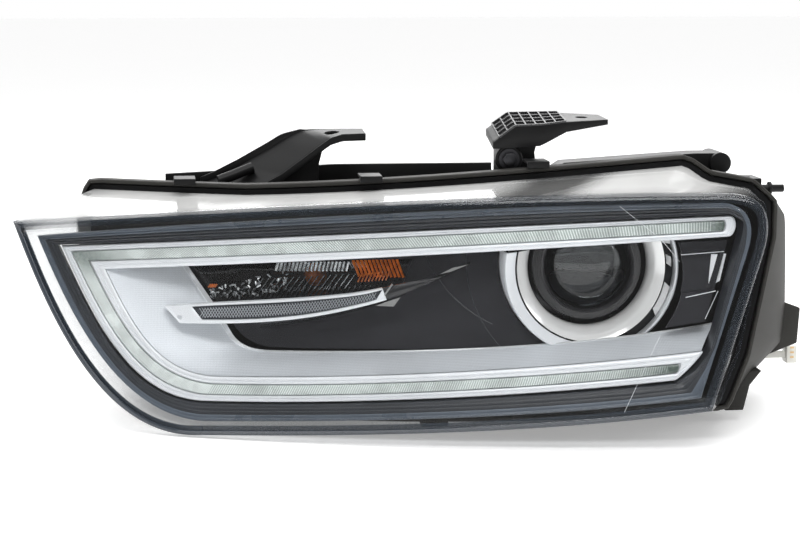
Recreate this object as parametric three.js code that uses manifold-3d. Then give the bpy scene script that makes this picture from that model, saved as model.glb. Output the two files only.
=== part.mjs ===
// Car headlamp with a projector low beam, a U-shaped daytime running light and a turn signal.
// Millimetres, +Z up. +X runs from the outer side of the car towards its grille, and the lamp
// shines towards -Y. A "front view" point is a pair (x, z); its depth y comes from the lens skin.
import * as THREE from 'three';
import { mergeVertices } from 'three/addons/utils/BufferGeometryUtils.js';
import Module from 'manifold-3d';

const wasm = await Module();
wasm.setup();

// ---------------------------------------------------------------- driving dimensions

// The lens skin is a parabola swept back from the grille side, raked backwards with height.
const SKIN = { edge: 300, curve: 3.3e-4, slope: 0.08, rake: 0.25 };
// Distance from the skin to the rear rim of the lens: at the grille side, and what the other end adds.
const RIM = { shallow: 36, extra: 64, span: 610 };

const LENS_WALL = 3;
const HOUSING_WALL = 2.6;
const GAP = 0.4;
const LENS_GAP = 1.2;              // between the lens rim and its seal
const BACK = 312;                  // outer face of the housing's back wall
const AXIS = { x: 150, z: 135 };   // optical axis of the projector, parallel to Y
const AIM_Y = 158;                 // depth of the aiming pivots
const GLASS_RADIUS = 35;
const BARREL_RADIUS = 45;
const CHROME_RADIUS = 60;
const RING_RADIUS = 70;
const ARM = 72;                    // lever from the optical axis to an adjusting point
const BULB = { x: -62, z: 116 };   // axis of the turn signal's bulb
const SIDE_POINTS = { left: 12, bottom: 12, right: 12, top: 14 };

// Depths behind the skin at which the layers of the front lie.
const LAYER = {
  bezel: 12, guide: 18.5, frame: 21, stripLens: 23, strip: 25.6, trimPanel: 32,
  panel: 50, signalLens: 53, signal: 60,
};

// ---------------------------------------------------------------- finishes

const FINISH = {
  clear: { color: 0xe6edf2, roughness: 0.05, metalness: 0, transparent: true, opacity: 0.3 },
  guide: { color: 0xb7c0bd, roughness: 0.35, metalness: 0 },
  silver: { color: 0xd5dae0, roughness: 0.4, metalness: 0.5 },
  satin: { color: 0xb4bac0, roughness: 0.45, metalness: 0.6 },
  chrome: { color: 0xf2f4f6, roughness: 0.08, metalness: 1 },
  anthracite: { color: 0x34383e, roughness: 0.35, metalness: 0.1 },
  black: { color: 0x1c1c1e, roughness: 0.55, metalness: 0 },
  housing: { color: 0x3a3a38, roughness: 0.7, metalness: 0 },
  rubber: { color: 0x101011, roughness: 0.8, metalness: 0 },
  steel: { color: 0x9aa0a6, roughness: 0.35, metalness: 1 },
  alloy: { color: 0xb3b0a8, roughness: 0.45, metalness: 0.9 },
  amber: { color: 0xd9782a, roughness: 0.2, metalness: 0 },
  board: { color: 0x1f5a3a, roughness: 0.6, metalness: 0 },
  plug: { color: 0xe4e4dc, roughness: 0.4, metalness: 0 },
  wire: { color: 0x4f8a5b, roughness: 0.5, metalness: 0 },
};

// ---------------------------------------------------------------- geometry helpers

/** Depth of the outer lens skin at a front-view point. */
function skin(x, z) {
  const run = SKIN.edge - x;
  return SKIN.curve * run * run + SKIN.slope * run + SKIN.rake * z;
}

/** Depth of the rear rim of the lens at a front-view point. */
function rimDepth(x, z) {
  const part = (SKIN.edge - x) / RIM.span;
  return skin(x, z) + RIM.shallow + RIM.extra * part * part;
}

/** Evenly spaced points of one side of an outline; a step is a line [x, z] or a Bezier of six numbers. */
function side(count, start, ...steps) {
  const path = new THREE.Path().moveTo(...start);
  for (const step of steps) {
    if (step.length === 2) path.lineTo(...step);
    else path.bezierCurveTo(...step);
  }
  return path.getSpacedPoints(count).slice(0, count);
}

/** As side(), with the end point kept. */
function line(count, start, ...steps) {
  const end = steps[steps.length - 1].slice(-2);
  return [...side(count, start, ...steps), new THREE.Vector2(...end)];
}

/** A loop of front-view points moved inwards by a distance; loops run down the left, then right. */
function inset(loop, distance) {
  return loop.map((point, index) => {
    const before = loop[(index + loop.length - 1) % loop.length];
    const after = loop[(index + 1) % loop.length];
    const first = point.clone().sub(before).normalize();
    const second = after.clone().sub(point).normalize();
    const along = first.add(second).normalize();
    return new THREE.Vector2(point.x - along.y * distance, point.y + along.x * distance);
  });
}

/** Front-view points placed a distance behind the skin. */
function behind(points, distance) {
  return points.map((p) => new THREE.Vector3(p.x, skin(p.x, p.y) + distance, p.y));
}

/** A closed geometry from vertices and faces, turned so that its faces point outwards. */
function closedMesh(vertices, faces) {
  let volume = 0;
  for (const [a, b, c] of faces) volume += vertices[a].dot(vertices[b].clone().cross(vertices[c]));
  const index = faces.flatMap(([a, b, c]) => (volume < 0 ? [a, c, b] : [a, b, c]));
  const geometry = new THREE.BufferGeometry().setFromPoints(vertices);
  geometry.setIndex(index);
  return geometry;
}

/** Skins a row of rings; a ring of one point is a pole, and a wrapped row closes on its first ring. */
function loft(rings, wrapped = false) {
  const vertices = rings.flat();
  const starts = [];
  let total = 0;
  for (const ring of rings) {
    starts.push(total);
    total += ring.length;
  }
  const faces = [];
  const last = wrapped ? rings.length : rings.length - 1;
  for (let i = 0; i < last; i += 1) {
    const j = (i + 1) % rings.length;
    const count = Math.max(rings[i].length, rings[j].length);
    for (let k = 0; k < count; k += 1) {
      const next = (k + 1) % count;
      const a = starts[i] + (rings[i].length > 1 ? k : 0);
      const b = starts[i] + (rings[i].length > 1 ? next : 0);
      const c = starts[j] + (rings[j].length > 1 ? k : 0);
      const d = starts[j] + (rings[j].length > 1 ? next : 0);
      if (a !== b) faces.push([a, b, d]);
      if (c !== d) faces.push([a, d, c]);
    }
  }
  return closedMesh(vertices, faces);
}

/** A plate between two matching grids of points, closed round its edges. */
function slab(front, back) {
  const rows = front.length;
  const columns = front[0].length;
  const vertices = [...front.flat(), ...back.flat()];
  const at = (layer, row, column) => layer * rows * columns + row * columns + column;
  const faces = [];
  const quad = (a, b, c, d) => faces.push([a, b, c], [a, c, d]);
  for (let r = 0; r < rows - 1; r += 1) {
    for (let c = 0; c < columns - 1; c += 1) {
      quad(at(0, r, c), at(0, r, c + 1), at(0, r + 1, c + 1), at(0, r + 1, c));
      quad(at(1, r, c), at(1, r + 1, c), at(1, r + 1, c + 1), at(1, r, c + 1));
    }
    const end = columns - 1;
    quad(at(0, r, 0), at(0, r + 1, 0), at(1, r + 1, 0), at(1, r, 0));
    quad(at(0, r, end), at(1, r, end), at(1, r + 1, end), at(0, r + 1, end));
  }
  for (let c = 0; c < columns - 1; c += 1) {
    const end = rows - 1;
    quad(at(0, 0, c), at(1, 0, c), at(1, 0, c + 1), at(0, 0, c + 1));
    quad(at(0, end, c), at(0, end, c + 1), at(1, end, c + 1), at(1, end, c));
  }
  return closedMesh(vertices, faces);
}

/** A strip that follows the skin between two matching rows of front-view points. */
function strip(outer, inner, outerDepth, innerDepth, thickness, columns = 1) {
  const grid = (extra) => outer.map((p, index) => {
    const row = [];
    for (let c = 0; c <= columns; c += 1) {
      const part = c / columns;
      const point = p.clone().lerp(inner[index], part);
      const depth = outerDepth + (innerDepth - outerDepth) * part + extra;
      row.push(new THREE.Vector3(point.x, skin(point.x, point.y) + depth, point.y));
    }
    return row;
  });
  return slab(grid(0), grid(thickness));
}

/** A manifold solid of a closed geometry. */
function toSolid(geometry) {
  const bare = new THREE.BufferGeometry();
  bare.setAttribute('position', geometry.getAttribute('position').clone());
  if (geometry.index) bare.setIndex(geometry.index.clone());
  const merged = mergeVertices(bare, 1e-4);
  const index = Array.from(merged.index.array);
  const kept = [];
  for (let i = 0; i < index.length; i += 3) {
    const [a, b, c] = index.slice(i, i + 3);
    if (a !== b && b !== c && c !== a) kept.push(a, b, c);
  }
  return new wasm.Manifold(new wasm.Mesh({
    numProp: 3,
    vertProperties: new Float32Array(merged.getAttribute('position').array),
    triVerts: new Uint32Array(kept),
  }));
}

/** The geometry of a manifold solid. */
function fromSolid(solid) {
  const mesh = solid.getMesh();
  const geometry = new THREE.BufferGeometry();
  geometry.setAttribute('position', new THREE.BufferAttribute(new Float32Array(mesh.vertProperties), 3));
  geometry.setIndex(new THREE.BufferAttribute(new Uint32Array(mesh.triVerts), 1));
  return geometry;
}

/** A geometry with others cut away. */
function cut(geometry, ...tools) {
  let solid = toSolid(geometry);
  for (const tool of tools) solid = solid.subtract(toSolid(tool));
  return fromSolid(solid);
}

/** Several geometries joined into one. */
function join(geometry, ...others) {
  let solid = toSolid(geometry);
  for (const other of others) solid = solid.add(toSolid(other));
  return fromSolid(solid);
}

/** A box from its low and high corners. */
function box(low, high) {
  const size = high.map((value, axis) => value - low[axis]);
  const middle = high.map((value, axis) => (value + low[axis]) / 2);
  return new THREE.BoxGeometry(...size).translate(...middle);
}

/** A solid turned about an axis parallel to Y; the profile is rows of [radius, y]. */
function turned(profile, x, z, sides = 32) {
  const points = profile.map(([radius, y]) => new THREE.Vector2(radius, y));
  return toOutward(new THREE.LatheGeometry(points, sides).translate(x, 0, z));
}

/** A geometry with its seams merged and its faces pointing outwards. */
function toOutward(geometry) {
  const bare = new THREE.BufferGeometry();
  bare.setAttribute('position', geometry.getAttribute('position').clone());
  if (geometry.index) bare.setIndex(geometry.index.clone());
  const merged = mergeVertices(bare, 1e-4);
  const place = merged.getAttribute('position');
  const vertices = [];
  for (let i = 0; i < place.count; i += 1) vertices.push(new THREE.Vector3().fromBufferAttribute(place, i));
  const faces = [];
  const index = merged.index.array;
  for (let i = 0; i < index.length; i += 3) {
    const face = [index[i], index[i + 1], index[i + 2]];
    if (new Set(face).size === 3) faces.push(face);
  }
  return closedMesh(vertices, faces);
}

/** A round bar along Y, X or Z from one coordinate to another; the centre is given in all three. */
function bar(axis, radius, from, to, centre, sides = 20) {
  const geometry = new THREE.CylinderGeometry(radius, radius, to - from, sides);
  const middle = (from + to) / 2;
  if (axis === 'x') return geometry.rotateZ(Math.PI / 2).translate(middle, centre[1], centre[2]);
  if (axis === 'z') return geometry.rotateX(Math.PI / 2).translate(centre[0], centre[1], middle);
  return geometry.translate(centre[0], middle, centre[2]);
}

/** A front-view outline pushed along Y between two depths. */
function pushed(outline, front, rear) {
  const shape = new THREE.Shape(outline.map(([x, z]) => new THREE.Vector2(x, z)));
  const geometry = new THREE.ExtrudeGeometry(shape, { depth: rear - front, bevelEnabled: false });
  return geometry.rotateX(Math.PI / 2).translate(0, rear, 0);
}

/** A ribbon of one thickness along a row of front-view points, pushed along Y. */
function ribbon(points, thickness, front, rear) {
  const row = points.map(([x, z]) => new THREE.Vector2(x, z));
  const offset = (sign) => row.map((point, index) => {
    const before = row[Math.max(index - 1, 0)];
    const after = row[Math.min(index + 1, row.length - 1)];
    const along = after.clone().sub(before).normalize();
    const reach = sign * thickness / 2;
    return [point.x - along.y * reach, point.y + along.x * reach];
  });
  return pushed([...offset(1), ...offset(-1).reverse()], front, rear);
}

const lamp = new THREE.Group();

/** Adds one piece to the lamp. */
function add(name, geometry, finish) {
  const mesh = new THREE.Mesh(geometry, new THREE.MeshStandardMaterial(finish));
  mesh.name = name;
  lamp.add(mesh);
}

// ---------------------------------------------------------------- outlines

const LENS_EDGE = [
  ...side(SIDE_POINTS.left, [-312, 163], [-285, 95, -243, -6, -161, 2]),
  ...side(SIDE_POINTS.bottom, [-161, 2], [-60, 7, 90, 13, 232, 32]),
  ...side(SIDE_POINTS.right, [232, 32], [276, 150], [286, 178, 282, 196, 252, 197]),
  ...side(SIDE_POINTS.top, [252, 197], [110, 198, -120, 183, -312, 163]),
];

const RIM_EDGE = [
  ...side(SIDE_POINTS.left, [-247, 184], [-266, 150, -240, 26, -158, 13]),
  ...side(SIDE_POINTS.bottom, [-158, 13], [-60, 15, 90, 20, 248, 34]),
  ...side(SIDE_POINTS.right, [248, 34], [264, 70], [288, 160], [290, 185], [276, 198]),
  ...side(SIDE_POINTS.top, [276, 198], [243, 204], [226, 216], [120, 206, 0, 192, -120, 185], [-247, 184]),
];

const BACK_EDGE = [
  ...side(SIDE_POINTS.left, [-236, 178], [-250, 130, -216, 22, -150, 11]),
  ...side(SIDE_POINTS.bottom, [-150, 11], [286, 6]),
  ...side(SIDE_POINTS.right, [286, 6], [300, 25], [333, 55], [337, 89], [337, 162], [330, 174]),
  ...side(SIDE_POINTS.top, [330, 174], [305, 183], [-236, 178]),
];

const BEZEL_EDGE = [
  ...side(SIDE_POINTS.left, [-292, 151], [-268, 96, -230, 12, -158, 11]),
  ...side(SIDE_POINTS.bottom, [-158, 11], [-60, 16, 90, 22, 226, 40]),
  ...side(SIDE_POINTS.right, [226, 40], [267, 152], [275, 174, 268, 187, 250, 188]),
  ...side(SIDE_POINTS.top, [250, 188], [110, 188, -120, 172, -292, 151]),
];

const OPENING = [
  ...side(SIDE_POINTS.left, [-275, 144], [-248, 88, -222, 25, -160, 24]),
  ...side(SIDE_POINTS.bottom, [-160, 24], [-60, 26, 90, 37, 208, 50]),
  ...side(SIDE_POINTS.right, [208, 50], [224, 61], [236, 76], [264, 164], [265, 174], [256, 179.5]),
  ...side(SIDE_POINTS.top, [256, 179.5], [110, 173, -120, 157, -275, 144]),
];

// ---------------------------------------------------------------- lens, seal and housing

/** The rim's loop moved inwards by one distance and backwards by another. */
function rimRing(distance, back) {
  return inset(RIM_EDGE, distance).map((p, index) => {
    const source = RIM_EDGE[index];
    return new THREE.Vector3(p.x, rimDepth(source.x, source.y) + back, p.y);
  });
}

/** Rings that fill a loop from a pole out to its edge, a distance behind the skin. */
function discRings(loop, distance, steps) {
  const middle = new THREE.Vector2(-10, 100);
  const rings = steps.map((step) => behind(loop.map((p) => middle.clone().lerp(p, step)), distance));
  return [behind([middle], distance), ...rings];
}

/** Points part of the way along the side wall of the lens. */
function wallRing(part, thickness) {
  const front = inset(LENS_EDGE, thickness);
  const rear = inset(RIM_EDGE, thickness);
  return front.map((p, index) => {
    const q = p.clone().lerp(rear[index], part);
    const start = skin(LENS_EDGE[index].x, LENS_EDGE[index].y) + thickness;
    const end = rimDepth(RIM_EDGE[index].x, RIM_EDGE[index].y);
    return new THREE.Vector3(q.x, start + (end - start) * part, q.y);
  });
}

const DISC_STEPS = [0.3, 0.6, 0.85, 1];

function frontLens() {
  const outer = [...discRings(LENS_EDGE, 0, DISC_STEPS), wallRing(0.5, 0), wallRing(1, 0)];
  const inner = discRings(inset(LENS_EDGE, LENS_WALL), LENS_WALL, DISC_STEPS);
  return loft([...outer, wallRing(1, LENS_WALL), wallRing(0.5, LENS_WALL), ...inner.reverse()]);
}

const LIP = { outside: 8, inside: 4.6, front: -2, floor: 6, rear: 14 };

function lensGasket() {
  const outside = -LIP.inside + 3 * GAP;
  const inside = LENS_WALL + 1;
  return loft([
    rimRing(outside, LENS_GAP),
    rimRing(outside, LIP.floor - LENS_GAP),
    rimRing(inside, LIP.floor - LENS_GAP),
    rimRing(inside, LENS_GAP),
  ], true);
}

/** A ring of the housing body: how far back it is and how far it has grown to the back outline. */
function bodyRing(back, grown, thickness) {
  const near = inset(RIM_EDGE, thickness - 2);
  const far = inset(BACK_EDGE, thickness);
  return near.map((p, index) => {
    const q = p.clone().lerp(far[index], grown);
    const start = rimDepth(RIM_EDGE[index].x, RIM_EDGE[index].y) + LIP.rear;
    return new THREE.Vector3(q.x, start + (BACK - thickness - start) * back, q.y);
  });
}

const BODY_STEPS = [[0, 0], [0.15, 0.49], [0.33, 0.75], [0.51, 1], [1, 1]];
const CAP = { x: 150, z: 126, hole: 48, flange: 56 };
const SMALL_CAP = { x: BULB.x, z: BULB.z, hole: 30, flange: 37 };
const MAIN_FEET = [[30, 142], [150, 182], [-170, 286], [270, 286]];
const FOOT_HALF = 11;

function rearHousing() {
  const centre = new THREE.Vector3(50, 0, 95);
  const shrunk = (ring) => ring.map((p) => new THREE.Vector3(centre.x, p.y, centre.z).lerp(p, 0.5));
  const outer = BODY_STEPS.map(([back, grown]) => bodyRing(back, grown, 0));
  const inner = BODY_STEPS.map(([back, grown]) => bodyRing(back, grown, HOUSING_WALL));
  const rearOuter = outer[outer.length - 1];
  const rearInner = inner[inner.length - 1];
  const shell = loft([
    [new THREE.Vector3(centre.x, BACK, centre.z)],
    shrunk(rearOuter),
    ...outer.reverse(),
    rimRing(-LIP.outside, LIP.rear - 2),
    rimRing(-LIP.outside, LIP.front),
    rimRing(-LIP.inside, LIP.front),
    rimRing(-LIP.inside, LIP.floor),
    rimRing(1, LIP.floor),
    ...inner,
    shrunk(rearInner),
    [new THREE.Vector3(centre.x, BACK - HOUSING_WALL, centre.z)],
  ]);
  const feet = MAIN_FEET.map(([x, y]) => (
    box([x - FOOT_HALF, y - FOOT_HALF, 0], [x + FOOT_HALF, y + FOOT_HALF, 17])
  ));
  const fin = pushed([[318, 46], [344, 56], [346, 86], [330, 92]], 176, 181);
  const lug = pushed([[270, 9], [286, 9], [291, 30], [301, 42], [286, 42], [272, 28]], 128, 160);
  const bores = [
    bar('y', CAP.hole, BACK - 12, BACK + 12, [CAP.x, 0, CAP.z], 40),
    bar('y', SMALL_CAP.hole, BACK - 12, BACK + 12, [SMALL_CAP.x, 0, SMALL_CAP.z], 32),
    bar('y', ADJUSTER.bore, BACK - 12, BACK + 12, [AXIS.x + ARM, 0, AXIS.z], 16),
    bar('y', ADJUSTER.bore, BACK - 12, BACK + 12, [VERTICAL.x, 0, VERTICAL.z], 16),
  ];
  return cut(join(shell, ...feet, fin, lug), ...bores);
}

const ADJUSTER = { bore: 5.5, rod: 3.2, knob: 13 };
const VERTICAL = { x: 214, z: 62 };

add('front_lens', frontLens(), FINISH.clear);
add('lens_gasket', lensGasket(), FINISH.rubber);
add('rear_housing', rearHousing(), FINISH.housing);

// ---------------------------------------------------------------- bezel and running light

const BEZEL_WALL = 2.5;
const BEZEL_SKIRT = 6;

function outerBezel() {
  const edge = BEZEL_EDGE;
  const hole = OPENING;
  return loft([
    behind(edge, LAYER.bezel + BEZEL_SKIRT),
    behind(edge, LAYER.bezel),
    behind(hole, LAYER.bezel + 4),
    behind(hole, LAYER.bezel + 22),
    behind(inset(hole, -BEZEL_WALL), LAYER.bezel + 22),
    behind(inset(hole, -BEZEL_WALL), LAYER.bezel + 4 + BEZEL_WALL),
    behind(inset(edge, BEZEL_WALL), LAYER.bezel + BEZEL_WALL),
    behind(inset(edge, BEZEL_WALL), LAYER.bezel + BEZEL_SKIRT),
  ], true);
}

// Outer and inner edges of the U, from the end of the upper arm round to the end of the lower arm.
const ARM_POINTS = { upper: 18, leg: 12, lower: 14 };

/** A row of points along the U: the upper arm leftwards, down the leg and back along the lower arm. */
function uRow(upperEnd, upper, corner, leg, bend, lower, lowerEnd) {
  return [
    ...side(ARM_POINTS.upper, upperEnd, [...upper, ...corner]),
    ...side(ARM_POINTS.leg, corner, [...leg, ...bend]),
    ...line(ARM_POINTS.lower, bend, [...lower, ...lowerEnd]),
  ];
}

const FRAME_OUTER = uRow(
  [256, 178], [110, 171.5, -120, 155.5], [-272, 143], [-246, 88, -220, 26.5], [-160, 25.5],
  [-60, 27.5, 90, 38.5], [208, 52],
);
const FRAME_INNER = uRow(
  [254, 162], [110, 152, -80, 138], [-236, 126], [-214, 80, -194, 46], [-150, 45],
  [-60, 47, 90, 57], [230, 74],
);
const GUIDE_OUTER = uRow(
  [254, 175], [110, 167, -120, 151], [-264, 139], [-238, 86, -212, 32], [-155, 31],
  [-60, 33, 90, 44], [213, 58],
);
const GUIDE_INNER = uRow(
  [252, 166], [110, 158, -110, 142], [-249, 132], [-224, 82, -202, 41], [-150, 39.5],
  [-60, 41, 90, 52], [214, 65],
);
const GUIDE_DEPTH = 2.2;

add('outer_bezel', outerBezel(), FINISH.anthracite);
add('drl_frame', strip(FRAME_OUTER, FRAME_INNER, LAYER.frame, LAYER.frame, 4), FINISH.silver);
add('drl_light_guide', strip(GUIDE_OUTER, GUIDE_INNER, LAYER.guide, LAYER.guide, GUIDE_DEPTH), FINISH.guide);

const BOARD = { thickness: 1.6, depth: 27 };
const UPPER_BOARD = [line(6, [250, 175], [180, 171]), line(6, [249, 166], [180, 162])];
const LOWER_BOARD = [line(6, [206, 57], [140, 49]), line(6, [208, 66], [140, 57])];
add('drl_led_board_upper', strip(...UPPER_BOARD, BOARD.depth, BOARD.depth, BOARD.thickness), FINISH.board);
add('drl_led_board_lower', strip(...LOWER_BOARD, BOARD.depth, BOARD.depth, BOARD.thickness), FINISH.board);

// ---------------------------------------------------------------- inner trim

const TRIM_WALL = 2.4;
const TRIM_POINTS = { leg: 14, lower: 18 };

function silverTrim() {
  const outer = [
    ...side(TRIM_POINTS.leg, [-233, 125], [-212, 80, -192, 47, -150, 46]),
    ...line(TRIM_POINTS.lower, [-150, 46], [-60, 48, 90, 58, 229, 75]),
  ];
  const inner = [
    ...side(TRIM_POINTS.leg, [-170, 130], [-146, 96], [-134, 76], [-128, 66, -118, 63, -104, 63]),
    ...line(TRIM_POINTS.lower, [-104, 63], [0, 65, 140, 72, 246, 92]),
  ];
  return strip(outer, inner, LAYER.frame + 5, LAYER.panel - 3, TRIM_WALL, 3);
}

const ringClear = () => bar('y', RING_RADIUS + 1, 20, 240, [AXIS.x, 0, AXIS.z], 40);

function darkInnerPanel() {
  const top = line(22, [160, 152], [60, 146, -60, 136, -162, 129]);
  const bottom = line(22, [160, 75.5], [60, 68, -60, 65, -104, 65], [-124, 68, -130, 78, -136, 88]);
  const plate = strip(top, bottom, LAYER.panel, LAYER.panel, TRIM_WALL, 3);
  const window = pushed(SIGNAL_EDGE.map(([x, z]) => [x, z]), 100, 260);
  return cut(plate, window, ringClear());
}

function sideTrimPanel() {
  const top = line(8, [256, 158], [172, 153]);
  const bottom = line(8, [236, 95], [172, 85]);
  return cut(strip(top, bottom, LAYER.trimPanel, LAYER.trimPanel, TRIM_WALL, 2), ringClear());
}

// Window of the turn signal, under the upper arm.
const SIGNAL_EDGE = [[-166, 127], [-148, 98], [-10, 112], [4, 119], [12, 138], [-60, 135]];

add('silver_trim', silverTrim(), FINISH.silver);
add('dark_inner_panel', darkInnerPanel(), FINISH.anthracite);
add('side_trim_panel', sideTrimPanel(), FINISH.anthracite);

// ---------------------------------------------------------------- marker strip

const STRIP_TOP = line(16, [-188, 98], [-150, 103, -90, 106, -40, 113], [-20, 116, 0, 122, 31, 129]);
const STRIP_BOTTOM = line(16, [-176, 85], [-120, 86, -80, 91, -48, 99], [-20, 106, 0, 112, 30, 126]);
const STRIP_DEPTH = 4;
const STRIP_LENS_TOP = line(12, [-174, 96.5], [-140, 100, -90, 103, -40, 110]);
const STRIP_LENS_BOTTOM = line(12, [-167, 88], [-120, 89.5, -80, 94, -42, 103]);

add('marker_strip_frame', strip(STRIP_TOP, STRIP_BOTTOM, LAYER.strip, LAYER.strip, STRIP_DEPTH),
  FINISH.satin);
add('marker_strip_lens', strip(STRIP_LENS_TOP, STRIP_LENS_BOTTOM, LAYER.stripLens, LAYER.stripLens, 2.2),
  FINISH.clear);

// ---------------------------------------------------------------- turn signal

const SIGNAL_REAR = 232;
const HOLDER = { radius: 17, bore: 12 };

function signalLoop(distance, grow) {
  const centre = new THREE.Vector2(-70, 118);
  const loop = [];
  SIGNAL_EDGE.forEach((point, index) => {
    const next = SIGNAL_EDGE[(index + 1) % SIGNAL_EDGE.length];
    for (let step = 0; step < 4; step += 1) {
      const x = point[0] + (next[0] - point[0]) * step / 4;
      const z = point[1] + (next[1] - point[1]) * step / 4;
      loop.push(centre.clone().lerp(new THREE.Vector2(x, z), grow));
    }
  });
  return behind(loop, distance);
}

/** The circle at the back of the reflector, with as many points as the window. */
function signalBack(radius, y, front) {
  return front.map((p) => {
    const angle = Math.atan2(p.z - BULB.z, (p.x - BULB.x) / 3);
    return new THREE.Vector3(BULB.x + radius * Math.cos(angle), y, BULB.z + radius * Math.sin(angle));
  });
}

function signalReflector() {
  const outer = signalLoop(LAYER.signal, 1.06);
  const inner = signalLoop(LAYER.signal, 0.99);
  return loft([
    outer,
    signalBack(HOLDER.bore + 6, SIGNAL_REAR, outer),
    signalBack(HOLDER.bore + 1, SIGNAL_REAR, inner),
    inner,
  ], true);
}

function signalLens() {
  const rows = [0.96, 0.5].map((grow) => signalLoop(LAYER.signalLens, grow));
  const rear = [0.96, 0.5].map((grow) => signalLoop(LAYER.signalLens + 2.5, grow));
  const centre = new THREE.Vector2(-70, 118);
  return loft([
    behind([centre], LAYER.signalLens), rows[1], rows[0], rear[0], rear[1],
    behind([centre], LAYER.signalLens + 2.5),
  ]);
}

const bulbGlass = turned([
  [0, SIGNAL_REAR - 36], [5, SIGNAL_REAR - 34.5], [9, SIGNAL_REAR - 29], [10, SIGNAL_REAR - 22],
  [7.5, SIGNAL_REAR - 12], [7, SIGNAL_REAR + 1], [0, SIGNAL_REAR + 1],
], BULB.x, BULB.z, 20);

const bulbHolder = join(
  turned([[0, SIGNAL_REAR + 1.4], [HOLDER.radius, SIGNAL_REAR + 1.4], [HOLDER.radius, SIGNAL_REAR + 9],
    [12, SIGNAL_REAR + 9], [12, SIGNAL_REAR + 26], [0, SIGNAL_REAR + 26]], BULB.x, BULB.z, 24),
  box([BULB.x - 2.5, SIGNAL_REAR + 9, BULB.z - 16], [BULB.x + 2.5, SIGNAL_REAR + 24, BULB.z + 16]),
);

add('turn_signal_reflector', signalReflector(), FINISH.chrome);
add('turn_signal_lens', signalLens(), FINISH.clear);
add('turn_signal_bulb', bulbGlass, FINISH.amber);
add('turn_signal_bulb_holder', bulbHolder, FINISH.black);

// ---------------------------------------------------------------- projector surround

const RING = { front: 88, rear: 124, wall: 1.6 };

// The surround ends under the running light's upper arm and above the silver trim.
const underArm = (rear) => pushed([[60, 146], [240, 159], [240, 260], [60, 260]], 40, rear);
const aboveTrim = (rear) => pushed([[60, 20], [240, 20], [240, 84], [60, 78]], 40, rear);

const surroundRing = () => {
  const solid = toSolid(turned([
    [RING_RADIUS - 1, RING.front], [RING_RADIUS, RING.front + 2], [RING_RADIUS, RING.rear],
    [RING_RADIUS - RING.wall, RING.rear], [RING_RADIUS - RING.wall, RING.front + 5],
    [CHROME_RADIUS + 0.4, RING.front + 6], [CHROME_RADIUS + 0.4, RING.front + 4],
    [RING_RADIUS - 1, RING.front],
  ], AXIS.x, AXIS.z, 48));
  return solid.subtract(toSolid(underArm(200))).subtract(toSolid(aboveTrim(200)));
};

const ringPieces = surroundRing().decompose().sort((a, b) => (
  a.boundingBox().min[0] - b.boundingBox().min[0]
));
add('projector_ring_outer', fromSolid(ringPieces[0]), FINISH.silver);
add('projector_ring_inner', fromSolid(ringPieces[1]), FINISH.silver);

const chromeCone = cut(turned([
  [CHROME_RADIUS, RING.front + 4], [BARREL_RADIUS + 4, 116], [BARREL_RADIUS + 4, 118],
  [CHROME_RADIUS, RING.front + 6.5], [CHROME_RADIUS, RING.front + 4],
], AXIS.x, AXIS.z, 48), underArm(108), aboveTrim(104));
add('projector_chrome_cone', chromeCone, FINISH.chrome);

// ---------------------------------------------------------------- projector

const lensHolder = turned([
  [GLASS_RADIUS + 0.6, 106], [GLASS_RADIUS + 3, 104], [GLASS_RADIUS + 5, 107], [GLASS_RADIUS + 7, 107],
  [BARREL_RADIUS - 1, 111], [BARREL_RADIUS, 113], [BARREL_RADIUS, 149], [BARREL_RADIUS + 5, 149],
  [BARREL_RADIUS + 5, 153], [GLASS_RADIUS + 4, 153], [GLASS_RADIUS + 4, 122.5],
  [GLASS_RADIUS - 2, 122.5], [GLASS_RADIUS - 2, 120.6], [GLASS_RADIUS + 0.6, 120.6],
  [GLASS_RADIUS + 0.6, 106],
], AXIS.x, AXIS.z, 32);

/** Rows of [radius, y] along an arc of a spherical cap, from the axis to its edge. */
function capArc(radius, apex, height, steps) {
  const ball = (radius * radius + height * height) / (2 * height);
  const end = Math.asin(radius / ball);
  return Array.from({ length: steps + 1 }, (_, i) => {
    const angle = end * i / steps;
    return [ball * Math.sin(angle), apex + ball * (1 - Math.cos(angle))];
  });
}

const glassProfile = [...capArc(GLASS_RADIUS, 96, 20, 5), [GLASS_RADIUS, 120.2], [0, 120.2]];
const glass = turned(glassProfile, AXIS.x, AXIS.z, 32);

/** Rows of [radius, y] along an ellipse that narrows backwards. */
function bowl(wide, narrow, front, rear, steps) {
  return Array.from({ length: steps + 1 }, (_, i) => {
    const part = i / steps;
    return [narrow + (wide - narrow) * Math.sqrt(1 - part * part), front + (rear - front) * part];
  });
}

const REFLECTOR = { front: 153.4, rear: 214, wide: 43, neck: 13, wall: 2 };
const reflectorShell = turned([
  [BARREL_RADIUS + 5, REFLECTOR.front], [BARREL_RADIUS + 5, REFLECTOR.front + 3],
  [REFLECTOR.wide, REFLECTOR.front + 3],
  ...bowl(REFLECTOR.wide, REFLECTOR.neck, REFLECTOR.front + 14, REFLECTOR.rear, 5),
  ...bowl(REFLECTOR.wide - REFLECTOR.wall, REFLECTOR.neck - 1.5, REFLECTOR.front + 14, REFLECTOR.rear - 2, 5)
    .reverse(),
  [REFLECTOR.wide - REFLECTOR.wall, REFLECTOR.front], [BARREL_RADIUS + 5, REFLECTOR.front],
], AXIS.x, AXIS.z, 28);
const SHUTTER = { hinge: 97, top: 126, half: 22, y: 160 };
const projectorReflector = cut(
  reflectorShell,
  box([AXIS.x - 29, REFLECTOR.front + 3, 80], [AXIS.x + 29, REFLECTOR.front + 16, 105]),
);

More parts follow.
